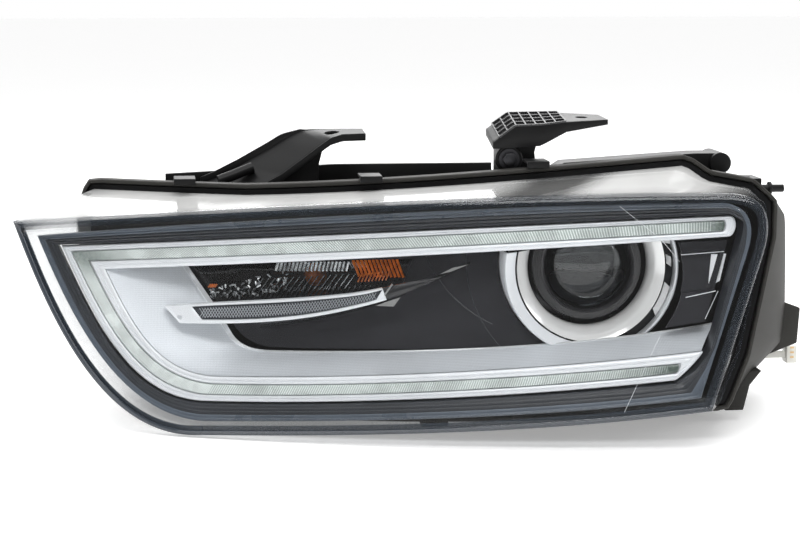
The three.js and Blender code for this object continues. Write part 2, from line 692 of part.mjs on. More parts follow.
const xenonBulb = turned([
  [0, 178], [3, 180], [4, 190], [4, 206], [9, 210], [9, 216], [0, 216],
], AXIS.x, AXIS.z, 16);
const igniter = join(
  turned([[0, 216.6], [17, 216.6], [17, 226], [0, 226]], AXIS.x, AXIS.z, 28),
  box([AXIS.x - 26, 225, AXIS.z - 24], [AXIS.x + 26, 250, AXIS.z + 24]),
);

const beamShutter = join(
  box([AXIS.x - SHUTTER.half, SHUTTER.y - 0.8, SHUTTER.hinge + 1], [AXIS.x + SHUTTER.half, SHUTTER.y + 0.8,
    SHUTTER.top]),
  bar('x', 1.8, AXIS.x - SHUTTER.half - 3, AXIS.x + SHUTTER.half + 3, [0, SHUTTER.y, SHUTTER.hinge], 14),
  box([AXIS.x - 3, SHUTTER.y - 0.8, SHUTTER.hinge - 13], [AXIS.x + 3, SHUTTER.y + 0.8, SHUTTER.hinge - 0.5]),
);

const SOLENOID = { z: SHUTTER.hinge - 12, front: 172, rear: 200, half: 6 };
const solenoid = cut(
  box([AXIS.x - 13, SOLENOID.front, SOLENOID.z - SOLENOID.half], [AXIS.x + 13, SOLENOID.rear,
    SOLENOID.z + SOLENOID.half]),
  bar('y', 3, SOLENOID.front - 1, SOLENOID.rear - 4, [AXIS.x, 0, SOLENOID.z], 16),
);
const PLUNGER_RADIUS = 1.4;
const plunger = bar('y', PLUNGER_RADIUS, SHUTTER.y + 1.2, SOLENOID.rear - 14, [AXIS.x, 0, SOLENOID.z], 14);

const LEVEL_Z = AXIS.z - ARM;
const tiltArm = join(
  box([AXIS.x - 7, 138, LEVEL_Z - 8], [AXIS.x + 7, 141, AXIS.z - BARREL_RADIUS - 0.4]),
  cut(
    bar('y', 9.5, 140, 155, [AXIS.x, 0, LEVEL_Z], 20),
    bar('y', 7, 143, 160, [AXIS.x, 0, LEVEL_Z], 20),
  ),
);

// The carrier frame swings on two vertical pins; its lug is driven by the side adjuster.
const PIVOT = { pin: 2.2, hole: 2.6 };
const CARRIER = { inner: 52, outer: 56.5, front: 154, rear: 161.5 };
const carrier = join(
  cut(
    bar('y', CARRIER.outer, CARRIER.front, CARRIER.rear, [AXIS.x, 0, AXIS.z], 40),
    bar('y', CARRIER.inner, CARRIER.front - 1, CARRIER.rear + 1, [AXIS.x, 0, AXIS.z], 40),
    bar('z', PIVOT.hole, AXIS.z - 70, AXIS.z + 70, [AXIS.x, AIM_Y, 0], 16),
  ),
  box([AXIS.x + 55, CARRIER.front, AXIS.z - 7], [AXIS.x + ARM - 5, CARRIER.rear, AXIS.z + 7]),
  cut(
    bar('y', 10, CARRIER.front, CARRIER.rear + 4, [AXIS.x + ARM, 0, AXIS.z], 20),
    bar('y', 6, CARRIER.front - 1, CARRIER.rear + 5, [AXIS.x + ARM, 0, AXIS.z], 20),
  ),
);

add('projector_lens_holder', lensHolder, FINISH.black);
add('projector_glass', glass, FINISH.clear);
add('projector_reflector', projectorReflector, FINISH.chrome);
add('xenon_bulb', xenonBulb, FINISH.clear);
add('igniter', igniter, FINISH.alloy);
add('beam_shutter', beamShutter, FINISH.steel);
add('shutter_solenoid', solenoid, FINISH.steel);
add('solenoid_plunger', plunger, FINISH.steel);
add('tilt_arm', tiltArm, FINISH.black);
add('carrier_frame', carrier, FINISH.black);

// ---------------------------------------------------------------- adjusters and motor

const levelMotor = cut(
  join(
    box([AXIS.x - 24, 226, LEVEL_Z - 17], [AXIS.x + 24, 296, LEVEL_Z + 9]),
    bar('y', 9, 214, 228, [AXIS.x, 0, LEVEL_Z], 20),
  ),
  bar('y', 5, 212, 262, [AXIS.x, 0, LEVEL_Z], 20),
);
const levelShaft = join(
  bar('y', 3.6, 152, 250, [AXIS.x, 0, LEVEL_Z], 16),
  new THREE.SphereGeometry(5.6, 14, 10).translate(AXIS.x, 150, LEVEL_Z),
);
function adjuster(x, z, tip) {
  return join(
    bar('y', ADJUSTER.rod, tip, BACK + 6, [x, 0, z], 16),
    bar('y', ADJUSTER.knob, BACK + 1, BACK + 11, [x, 0, z], 18),
    box([x - 2, BACK + 8, z - ADJUSTER.knob - 3], [x + 2, BACK + 11, z + ADJUSTER.knob + 3]),
  );
}
const pivotPin = (from, to) => bar('z', PIVOT.pin, from, to, [AXIS.x, AIM_Y, 0], 16);
const lowerPivot = join(
  pivotPin(AXIS.z - 62, AXIS.z - 53),
  box([92, AIM_Y - 4, AXIS.z - 62], [AXIS.x + 4, AIM_Y + 4, AXIS.z - 59]),
  box([92, AIM_Y - 7, 16], [95, AIM_Y + 7, AXIS.z - 59]),
);

add('levelling_motor', levelMotor, FINISH.black);
add('levelling_shaft', levelShaft, FINISH.plug);
add('horizontal_adjuster', adjuster(AXIS.x + ARM, AXIS.z, 160), FINISH.plug);
add('vertical_adjuster', adjuster(VERTICAL.x, VERTICAL.z, 250), FINISH.plug);
add('carrier_pivot_upper', pivotPin(AXIS.z + 52.5, AXIS.z + 56), FINISH.steel);
add('carrier_pivot_lower', lowerPivot, FINISH.steel);

// ---------------------------------------------------------------- rear covers and electrics

function dustCap(place, thickness) {
  const { x, z, hole, flange } = place;
  const rim = turned([
    [0, BACK + 2], [hole - 3, BACK + 2], [hole - 3, BACK - 6], [hole - 1, BACK - 6], [hole - 1, BACK + 0.5],
    [flange, BACK + 0.5], [flange, BACK + 5], [hole - 6, BACK + thickness], [0, BACK + thickness],
  ], x, z, 28);
  const top = BACK + thickness;
  const grip = box([x - 4, top - 1, z - hole + 12], [x + 4, top + 9, z + hole - 12]);
  return join(rim, grip);
}

const BALLAST = { low: [-34, BACK + GAP, 18], high: [64, BACK + 22, 86] };
const fins = Array.from({ length: 8 }, (_, i) => {
  const x = BALLAST.low[0] + 8 + i * 11;
  return box([x, BALLAST.high[1] - 3, BALLAST.low[2] + 6], [x + 5, BALLAST.high[1] + 1, BALLAST.high[2] - 6]);
});
const ballastBody = cut(box(BALLAST.low, BALLAST.high), ...fins);

const CONNECTOR = { x: 272, z: 122, width: 44, height: 24 };
const mainConnector = cut(
  box([CONNECTOR.x - CONNECTOR.width / 2, BACK + GAP, CONNECTOR.z - CONNECTOR.height / 2],
    [CONNECTOR.x + CONNECTOR.width / 2, BACK + 20, CONNECTOR.z + CONNECTOR.height / 2]),
  box([CONNECTOR.x - CONNECTOR.width / 2 + 3, BACK + 5, CONNECTOR.z - CONNECTOR.height / 2 + 3],
    [CONNECTOR.x + CONNECTOR.width / 2 - 3, BACK + 30, CONNECTOR.z + CONNECTOR.height / 2 - 3]),
);
const ventCap = turned([[0, BACK + GAP], [11, BACK + GAP], [11, BACK + 7], [8, BACK + 10], [0, BACK + 10]],
  -150, 120, 24);

add('main_dust_cap', dustCap(CAP, 12), FINISH.black);
add('small_dust_cap', dustCap(SMALL_CAP, 10), FINISH.black);
add('ballast', ballastBody, FINISH.alloy);
add('main_connector', mainConnector, FINISH.black);
add('vent_cap', ventCap, FINISH.black);

// ---------------------------------------------------------------- brackets and fixings

const TOP = 183;   // underside of the pieces that stand on top of the housing
const BOLT = { x: 92, y: 158, z: 217 };

const leftBracket = cut(
  join(
    ribbon([[-153, TOP + 7], [-142, 195], [-122, 205], [-100, 217], [-85, 226], [-72, 231.8], [-60, 233],
      [-16, 233]], 5, 240, 276),
    ribbon([[-52, 231], [-60, 215], [-58, TOP]], 4, 246, 272),
    pushed([[-150, TOP], [-150, TOP + 6], [-56, TOP + 6], [-56, TOP]], 258, 272),
  ),
  bar('z', 6.5, 200, 250, [-44, 258, 0], 24),
);

const rearTopBar = join(
  pushed([[-186, 181], [97, TOP], [97, 202], [-40, 202], [-186, 195]], 280, 286),
  box([-186, 284, 181], [-140, 298, 185]),
);

const ribs = [];
for (let i = 0; i < 4; i += 1) {
  for (let j = 0; j < 3; j += 1) {
    const x = 88 + i * 12;
    const y = 146 + j * 12;
    ribs.push(box([x, y, 241], [x + 9, y + 9, 262]));
  }
}
const middleBracket = cut(
  join(
    pushed([[84, 212], [84, 204], [116, 204], [114, 222], [120, 236], [106, 242], [84, 230]], 152, 182),
    box([86, 173, 195], [114, 182, 206]),
    pushed([[78, 241], [78, 236], [118, 236], [138, 244], [172, 246], [172, 250], [138, 254], [96, 254]],
      142, 184),
  ),
  ...ribs,
  bar('z', 5, 230, 270, [154, 163, 0], 20),
);
const bracketBolt = join(
  bar('y', 8.5, 146, 147.6, [BOLT.x, 0, BOLT.z], 24),
  bar('y', 6, 141, 146.5, [BOLT.x, 0, BOLT.z], 6),
  bar('y', 3, 147, 151.6, [BOLT.x, 0, BOLT.z], 12),
);

const rightBar = join(
  pushed([[128, 193], [150, 207], [262, 214], [284, 214], [284, 199], [262, 196], [190, 192]], 218, 248),
  bar('y', 9, 212, 256, [284, 0, 206], 24),
  box([156, 224, TOP], [168, 242, 194]),
  box([248, 224, TOP], [260, 242, 198]),
);

const EAR_Z = 193.5;
const mountingEar = cut(
  box([272, 154, EAR_Z], [304, 186, EAR_Z + 5]),
  bar('z', 4.5, 180, 210, [294, 170, 0], 20),
);

const locatingPin = join(
  bar('x', 3.2, 298, 318, [0, 138, 192], 16),
  bar('x', 5.5, 305, 307.5, [0, 138, 192], 16),
);

function lensClip(x, z) {
  const y = rimDepth(x, z);
  return join(
    box([x - 9, y - 12, z], [x + 9, y + 14, z + 2.5]),
    box([x - 9, y - 14, z - 3], [x + 9, y - 11, z + 2.5]),
  );
}

add('left_bracket', leftBracket, FINISH.black);
add('rear_top_bar', rearTopBar, FINISH.black);
add('middle_bracket', middleBracket, FINISH.black);
add('bracket_bolt', bracketBolt, FINISH.steel);
add('right_bar', rightBar, FINISH.black);
add('mounting_ear', mountingEar, FINISH.black);
add('locating_pin', locatingPin, FINISH.black);
[[-170, 194], [-20, 201.6], [110, 216]].forEach(([x, z], index) => {
  add(`lens_clip_${index + 1}`, lensClip(x, z), FINISH.black);
});

// ---------------------------------------------------------------- lead and plug on the side wall

const PLUG = { x: 350, y: 226, z: 39 };
const grommet = bar('x', 6, 335.6, 342, [0, 262, 66], 18);
const plugBody = join(
  box([PLUG.x - 3, PLUG.y - 9, PLUG.z - 8], [PLUG.x + 6, PLUG.y + 6, PLUG.z + 7]),
  box([PLUG.x - 30, PLUG.y - 5, PLUG.z - 4], [PLUG.x - 2, PLUG.y - 1, PLUG.z + 2]),
);

function lead(offset) {
  const curve = new THREE.CatmullRomCurve3([
    new THREE.Vector3(342.4, 262, 66 + offset),
    new THREE.Vector3(348, 260, 65 + offset),
    new THREE.Vector3(352.5, 252, 58 + offset),
    new THREE.Vector3(352.5, 242, 46 + offset),
    new THREE.Vector3(351.5, 232.4, 39.5 + offset),
  ]);
  const shape = new THREE.Shape();
  shape.absarc(0, 0, 0.8, 0, Math.PI * 2, false);
  return toOutward(new THREE.ExtrudeGeometry(shape, {
    curveSegments: 4, steps: 12, bevelEnabled: false, extrudePath: curve,
  }));
}

add('lead_grommet', grommet, FINISH.rubber);
add('lead_plug', plugBody, FINISH.plug);
[-2.8, 0, 2.8].forEach((offset, index) => add(`lead_wire_${index + 1}`, lead(offset), FINISH.wire));

// ---------------------------------------------------------------- place on the origin

// The origin is the middle of the underside of the whole lamp.
const bounds = new THREE.Box3().setFromObject(lamp);
lamp.position.set(-(bounds.min.x + bounds.max.x) / 2, -(bounds.min.y + bounds.max.y) / 2, -bounds.min.z);

export default lamp;
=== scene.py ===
"""Studio model of a car headlamp: a projector, a U-shaped running light and a turn signal under one lens.

Lengths are millimetres in the lamp's design frame (x towards the grille, y backwards, z up) until a mesh
is made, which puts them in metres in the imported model's frame. A "front view" point is a pair (x, z); its
depth y comes from the lens skin.
"""

from __future__ import annotations

import logging
import math
from dataclasses import dataclass
from enum import Enum
from typing import Iterable, Optional, Sequence, Union

import bmesh
import bpy
import numpy as np
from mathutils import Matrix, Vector


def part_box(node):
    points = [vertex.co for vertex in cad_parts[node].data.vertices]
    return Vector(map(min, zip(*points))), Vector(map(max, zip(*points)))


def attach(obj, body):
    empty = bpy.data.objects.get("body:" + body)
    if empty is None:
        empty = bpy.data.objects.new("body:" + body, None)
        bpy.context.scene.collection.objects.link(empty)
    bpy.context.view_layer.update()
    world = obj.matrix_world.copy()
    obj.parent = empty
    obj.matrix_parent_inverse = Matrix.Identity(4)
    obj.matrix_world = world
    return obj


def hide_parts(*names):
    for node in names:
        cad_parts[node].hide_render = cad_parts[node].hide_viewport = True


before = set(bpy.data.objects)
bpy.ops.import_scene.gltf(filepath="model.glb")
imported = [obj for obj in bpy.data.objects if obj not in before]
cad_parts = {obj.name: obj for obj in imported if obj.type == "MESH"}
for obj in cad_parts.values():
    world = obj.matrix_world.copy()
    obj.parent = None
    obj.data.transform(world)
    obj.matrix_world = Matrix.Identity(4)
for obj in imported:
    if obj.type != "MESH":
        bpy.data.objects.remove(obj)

LOG = logging.getLogger("headlamp")
MM = 0.001
AXIS = (150.0, 135.0)  # the projector's optical axis, parallel to Y
GLASS_APEX = 96.0
BACK = 312.0  # outer face of the housing's back wall
LAMP = "lamp_body"
SHARP = 32.0  # the angle in degrees past which an edge is sharp

Points = np.ndarray
Colour = tuple[float, float, float]


def row_shift() -> np.ndarray:
    """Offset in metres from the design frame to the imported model's frame, from the projector's glass."""
    low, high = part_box("projector_glass")
    middle = (low + high) / 2
    return np.array([middle.x - AXIS[0] * MM, low.y - GLASS_APEX * MM, middle.z - AXIS[1] * MM])


SHIFT = row_shift()


# ------------------------------------------------------------------------------------- outlines


@dataclass(frozen=True)
class Skin:
    """The lens skin: a parabola swept back from the grille side, raked backwards with height."""

    edge: float = 300.0  # x where the sweep starts
    curve: float = 3.3e-4
    slope: float = 0.08
    rake: float = 0.25
    rim_shallow: float = 36.0  # the rim's distance behind the skin at that edge
    rim_extra: float = 64.0  # how much further it is one span away
    rim_span: float = 610.0

    def depth(self, x: Points, z: Points) -> Points:
        """Depth of the skin at front view points."""
        run = self.edge - x
        return self.curve * run * run + self.slope * run + self.rake * z

    def rim(self, x: Points, z: Points) -> Points:
        """Depth of the lens's rear rim at front view points."""
        part = (self.edge - x) / self.rim_span
        return self.depth(x, z) + self.rim_shallow + self.rim_extra * part * part

    def behind(self, points: Points, distance: Union[float, Points]) -> Points:
        """Front view points placed a distance behind the skin.

        Args:
            points: rows of (x, z).
            distance: one distance, or one for each point.

        Returns:
            Rows of (x, y, z).
        """
        return at_depth(points, self.depth(points[:, 0], points[:, 1]) + distance)


SKIN = Skin()


PATH_STEPS = 80  # points along each line or curve before they are evened out


def path(count: int, start: Sequence[float], *steps: Sequence[float], end: bool = True) -> Points:
    """Evenly spaced points along lines and cubic curves.

    Args:
        count: the number of spaces between points.
        start: the first point.
        steps: two numbers for a line's end, or six for a curve's two handles and its end.
        end: whether the last point is kept.

    Returns:
        Rows of (x, z).
    """
    dense = [np.array([start], float)]
    share = np.linspace(0, 1, PATH_STEPS + 1)[1:, None]
    for step in steps:
        a = dense[-1][-1]
        if len(step) == 2:
            dense.append(a + (np.array(step) - a) * share)
            continue
        b, c, d = np.array(step, float).reshape(3, 2)
        rest = 1 - share
        dense.append(a * rest**3 + 3 * b * share * rest**2 + 3 * c * share**2 * rest + d * share**3)
    track = np.vstack(dense)
    run = np.concatenate([[0], np.cumsum(np.linalg.norm(np.diff(track, axis=0), axis=1))])
    wanted = np.linspace(0, run[-1], count + 1)
    if not end:
        wanted = wanted[:-1]
    return np.column_stack([np.interp(wanted, run, track[:, axis]) for axis in (0, 1)])


@dataclass(frozen=True)
class Density:
    """Spaces along the four sides of a front view loop."""

    left: int = 56
    bottom: int = 84
    right: int = 56
    top: int = 84


DENSITY = Density()


def loop(left: Sequence, bottom: Sequence, right: Sequence, top: Sequence) -> Points:
    """A closed front view outline from four sides, each a start point and its steps."""
    counts = (DENSITY.left, DENSITY.bottom, DENSITY.right, DENSITY.top)
    sides = (left, bottom, right, top)
    return np.vstack([path(count, *side, end=False) for count, side in zip(counts, sides)])


def inset(outline: Points, distance: float) -> Points:
    """A loop moved inwards by a distance."""
    before = outline - np.roll(outline, 1, axis=0)
    after = np.roll(outline, -1, axis=0) - outline
    along = before / np.linalg.norm(before, axis=1)[:, None]
    along += after / np.linalg.norm(after, axis=1)[:, None]
    along /= np.linalg.norm(along, axis=1)[:, None]
    return np.column_stack([outline[:, 0] - along[:, 1] * distance, outline[:, 1] + along[:, 0] * distance])


def lerp(a: Points, b: Points, share: float) -> Points:
    """Points part of the way from one set to another."""
    return a + (b - a) * share


def circle(x: float, z: float, radius: float, turn: Points) -> Points:
    """Front view points on a circle at angles in radians."""
    return np.column_stack([x + radius * np.cos(turn), z + radius * np.sin(turn)])


def arc(degrees: Sequence[float], count: int) -> Points:
    """Angles in radians from one angle to another in degrees."""
    return np.radians(np.linspace(*degrees, count))


def full_turn(count: int) -> Points:
    """Angles in radians, evenly all round."""
    return np.linspace(0, 2 * math.pi, count, endpoint=False)


def at_depth(flat: Points, depth: Union[float, Points]) -> Points:
    """Front view points at a depth, or at one depth each."""
    return np.column_stack([flat[:, 0], np.zeros(len(flat)) + depth, flat[:, 1]])


def sampled(row: Points, wanted: Points) -> Points:
    """Front view points at fractional places along a row."""
    index = np.arange(len(row))
    return np.column_stack([np.interp(wanted, index, row[:, axis]) for axis in (0, 1)])


LENS_EDGE = loop(
    ((-312, 163), (-285, 95, -243, -6, -161, 2)),
    ((-161, 2), (-60, 7, 90, 13, 232, 32)),
    ((232, 32), (276, 150), (286, 178, 282, 196, 252, 197)),
    ((252, 197), (110, 198, -120, 183, -312, 163)),
)
RIM_EDGE = loop(
    ((-247, 184), (-266, 150, -240, 26, -158, 13)),
    ((-158, 13), (-60, 15, 90, 20, 248, 34)),
    ((248, 34), (264, 70), (288, 160), (290, 185), (276, 198)),
    ((276, 198), (243, 204), (226, 216), (120, 206, 0, 192, -120, 185), (-247, 184)),
)
BACK_EDGE = loop(
    ((-236, 178), (-250, 130, -216, 22, -150, 11)),
    ((-150, 11), (286, 6)),
    ((286, 6), (300, 25), (333, 55), (337, 89), (337, 162), (330, 174)),
    ((330, 174), (305, 183), (-236, 178)),
)
BEZEL_EDGE = loop(
    ((-292, 151), (-268, 96, -230, 12, -158, 11)),
    ((-158, 11), (-60, 16, 90, 22, 226, 40)),
    ((226, 40), (267, 152), (275, 174, 268, 187, 250, 188)),
    ((250, 188), (110, 188, -120, 172, -292, 151)),
)
OPENING = loop(
    ((-275, 144), (-248, 88, -222, 25, -160, 24)),
    ((-160, 24), (-60, 26, 90, 37, 208, 50)),
    ((208, 50), (224, 61), (236, 76), (264, 164), (265, 174), (256, 179.5)),
    ((256, 179.5), (110, 173, -120, 157, -275, 144)),
)
SIGNAL_EDGE = ((-166, 127), (-148, 98), (-10, 112), (4, 119), (12, 138), (-60, 135))


def side_weights(left: float, bottom: float, right: float, top: float) -> Points:
    """A weight for each point of a loop, the same along each side and blended at the corners."""
    counts = (DENSITY.left, DENSITY.bottom, DENSITY.right, DENSITY.top)
    flat = np.repeat((left, bottom, right, top), counts)
    reach = 4
    blur = np.ones(2 * reach + 1) / (2 * reach + 1)
    return np.convolve(np.concatenate([flat[-reach:], flat, flat[:reach]]), blur, mode="valid")


# ------------------------------------------------------------------------------------- meshes


class Shape:
    """A growing mesh in design millimetres, with named values on its points."""

    def __init__(self) -> None:
        """Starts with no points."""
        self.points: list[Points] = []
        self.faces: list[tuple[int, ...]] = []
        self.values: dict[str, list[Points]] = {}
        self.count = 0

    def add(self, points: Points, **values: Union[float, Points]) -> int:
        """Adds points with their values and returns the index of the first."""
        first = self.count
        for name, value in values.items():
            self.values.setdefault(name, [np.zeros(first)])
            missing = first - sum(len(part) for part in self.values[name])
            self.values[name] += [np.zeros(missing), np.zeros(len(points)) + value]
        self.points.append(np.asarray(points, float))
        self.count += len(points)
        return first

    def bridge(self, a: int, b: int, count: int) -> None:
        """Quads between two rings of the same length."""
        for k in range(count):
            n = (k + 1) % count
            self.faces.append((a + k, a + n, b + n, b + k))

    def loft(self, rings: Sequence[Points], wrapped: bool = False, tags: Optional[Sequence] = None,
             tag: str = "edge") -> "Shape":
        """Skins closed rings; a ring of one point is a pole.

        Args:
            rings: rings of points in order.
            wrapped: whether the last ring joins the first.
            tags: a value, or values, for each ring.
            tag: the name of those values.

        Returns:
            The shape.
        """
        values = [{tag: tags[i]} if tags is not None else {} for i in range(len(rings))]
        starts = [self.add(ring, **value) for ring, value in zip(rings, values)]
        pairs = list(zip(range(len(rings) - 1), range(1, len(rings))))
        if wrapped:
            pairs.append((len(rings) - 1, 0))
        for i, j in pairs:
            one, two = len(rings[i]), len(rings[j])
            if one == two:
                self.bridge(starts[i], starts[j], one)
            else:
                pole, ring, count = (starts[i], starts[j], two) if one == 1 else (starts[j], starts[i], one)
                self.faces += [(pole, ring + k, ring + (k + 1) % count) for k in range(count)]
        return self

    def capped(self, rings: Sequence[Points]) -> "Shape":
        """Skins closed rings and closes the first and the last with a flat face."""
        first = self.count
        self.loft(rings)
        count = len(rings[0])
        last = first + count * (len(rings) - 1)
        self.faces += [tuple(range(first, first + count)), tuple(range(last, last + count))]
        return self

    def slab(self, front: Points, back: Points, tags: Optional[Points] = None, tag: str = "lip") -> "Shape":
        """A plate between two matching grids of points, closed round its edges.

        Args:
            front: a grid of points, rows by columns by three.
            back: the grid behind it.
            tags: a value for each point of the front grid.
            tag: the name of those values.

        Returns:
            The shape.
        """
        rows, columns = front.shape[:2]
        values = {} if tags is None else {tag: np.concatenate([tags.ravel(), tags.ravel()])}
        first = self.add(np.vstack([front.reshape(-1, 3), back.reshape(-1, 3)]), **values)
        near = first + np.arange(rows * columns).reshape(rows, columns)
        far = near + rows * columns
        for grid in (near, far):
            quads = (grid[:-1, :-1], grid[:-1, 1:], grid[1:, 1:], grid[1:, :-1])
            self.faces += list(zip(*[corner.ravel().tolist() for corner in quads]))
        rim = [near[0, :], near[:, -1], near[-1, ::-1], near[::-1, 0]]
        edge = np.concatenate([part[:-1] for part in rim]).tolist()
        gap = rows * columns
        for k, a in enumerate(edge):
            b = edge[(k + 1) % len(edge)]
            self.faces.append((a, b, b + gap, a + gap))
        return self

    def prism(self, outline: Sequence[Sequence[float]], front: float, rear: float) -> "Shape":
        """A front view outline pushed along Y between two depths."""
        flat = np.array(outline, float)
        return self.capped([at_depth(flat, front), at_depth(flat, rear)])

    def turned(self, profile: Sequence[Sequence[float]], x: float, z: float, sides: int = 96) -> "Shape":
        """A solid turned about an axis parallel to Y.

        Args:
            profile: rows of (radius, y); one that starts on the axis ends on it, others close on themselves.
            x: the axis's x.
            z: the axis's z.
            sides: the number of sides.

        Returns:
            The shape.
        """
        turn = full_turn(sides)
        rings = [at_depth(circle(x, z, radius, turn if radius else turn[:1]), y) for radius, y in profile]
        return self.loft(rings, wrapped=profile[0][0] > 0)

    def tube(self, track: Points, radius: float, sides: int) -> "Shape":
        """A round bar along a track of points, closed at both ends."""
        along = np.gradient(track, axis=0)
        along /= np.linalg.norm(along, axis=1)[:, None]
        across = np.cross(along, (0.31, 0.17, 0.93))  # a direction that no track has
        across /= np.linalg.norm(across, axis=1)[:, None]
        other = np.cross(along, across)
        turn = full_turn(sides)[:, None]
        return self.capped([point + radius * (np.cos(turn) * a + np.sin(turn) * b)
                            for point, a, b in zip(track, across, other)])

    def box(self, low: Sequence[float], high: Sequence[float]) -> "Shape":
        """A box from its low and high corners."""
        (x0, y0, z0), (x1, y1, z1) = low, high
        return self.prism(((x0, z0), (x1, z0), (x1, z1), (x0, z1)), y0, y1)

    def made(self, name: str, smooth: float = SHARP) -> bpy.types.Object:
        """Makes the mesh's object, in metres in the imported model's frame.

        Args:
            name: the object's name.
            smooth: the angle in degrees past which an edge is sharp.

        Returns:
            The object, at the origin.
        """
        mesh = bpy.data.meshes.new(name)
        places = np.vstack(self.points) * MM + SHIFT
        mesh.from_pydata(places.tolist(), [], self.faces)
        for tag, parts in self.values.items():
            missing = self.count - sum(len(part) for part in parts)
            layer = mesh.attributes.new(tag, "FLOAT", "POINT")
            layer.data.foreach_set("value", np.concatenate([*parts, np.zeros(missing)]))
        item = linked(name, mesh)
        tidy_normals(item, smooth)
        return item


def linked(name: str, data: Optional[bpy.types.ID]) -> bpy.types.Object:
    """A new object in the scene."""
    item = bpy.data.objects.new(name, data)
    bpy.context.scene.collection.objects.link(item)
    return item


def smoothed(mesh: bpy.types.Mesh, smooth: float) -> None:
    """Shades a mesh smooth, with its sharp edges marked."""
    mesh.polygons.foreach_set("use_smooth", [True] * len(mesh.polygons))
    mesh.set_sharp_from_angle(angle=math.radians(smooth))


def tidy_normals(item: bpy.types.Object, smooth: float) -> None:
    """Turns a mesh's faces outwards and marks its sharp edges."""
    work = bmesh.new()
    work.from_mesh(item.data)
    bmesh.ops.recalc_face_normals(work, faces=work.faces)
    work.to_mesh(item.data)
    work.free()
    smoothed(item.data, smooth)


def settled(item: bpy.types.Object, smooth: float = SHARP) -> bpy.types.Object:
    """Gives an object the mesh that its modifiers make, and removes them."""
    bpy.context.view_layer.update()
    graph = bpy.context.evaluated_depsgraph_get()
    mesh = bpy.data.meshes.new_from_object(item.evaluated_get(graph))
    item.modifiers.clear()
    item.data = mesh
    smoothed(mesh, smooth)
    return item


def carved(item: bpy.types.Object, *tools: Shape) -> bpy.types.Object:
    """An object with solids cut away."""
    for tool in tools:
        other = tool.made(f"{item.name}_tool")
        step = item.modifiers.new("carve", "BOOLEAN")
        step.operation = "DIFFERENCE"
        step.solver = "EXACT"
        step.object = other
        settled(item)
        bpy.data.objects.remove(other)
    return item


def bevelled(item: bpy.types.Object, width: float, segments: int = 2) -> bpy.types.Object:
    """An object with its sharp edges rounded.

    Args:
        item: the object.
        width: the rounding's width in millimetres.
        segments: steps across the rounding.

    Returns:
        The object.
    """
    step = item.modifiers.new("round", "BEVEL")
    step.width = width * MM
    step.segments = segments
    step.limit_method = "ANGLE"
    step.angle_limit = math.radians(SHARP)
    return settled(item)


def refined(node: str, width: float) -> bpy.types.Object:
    """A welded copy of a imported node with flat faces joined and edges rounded, in the node's place."""
    same_place, flat = 2e-6, math.radians(1.5)
    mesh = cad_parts[node].data.copy()
    item = linked(f"fine_{node}", mesh)
    mesh.materials.clear()
    work = bmesh.new()
    work.from_mesh(mesh)
    bmesh.ops.remove_doubles(work, verts=work.verts, dist=same_place)
    bmesh.ops.dissolve_limit(work, angle_limit=flat, verts=work.verts, edges=work.edges)
    work.to_mesh(mesh)
    work.free()
    tidy_normals(item, SHARP)
    return bevelled(item, width)


# ------------------------------------------------------------------------------------- repeats


class Pattern(Enum):
    """How a repeat lays out its blocks; each value names its tree."""

    POINTS = "blocks on points"
    RING = "blocks in a ring"
    ROW = "blocks in a row"


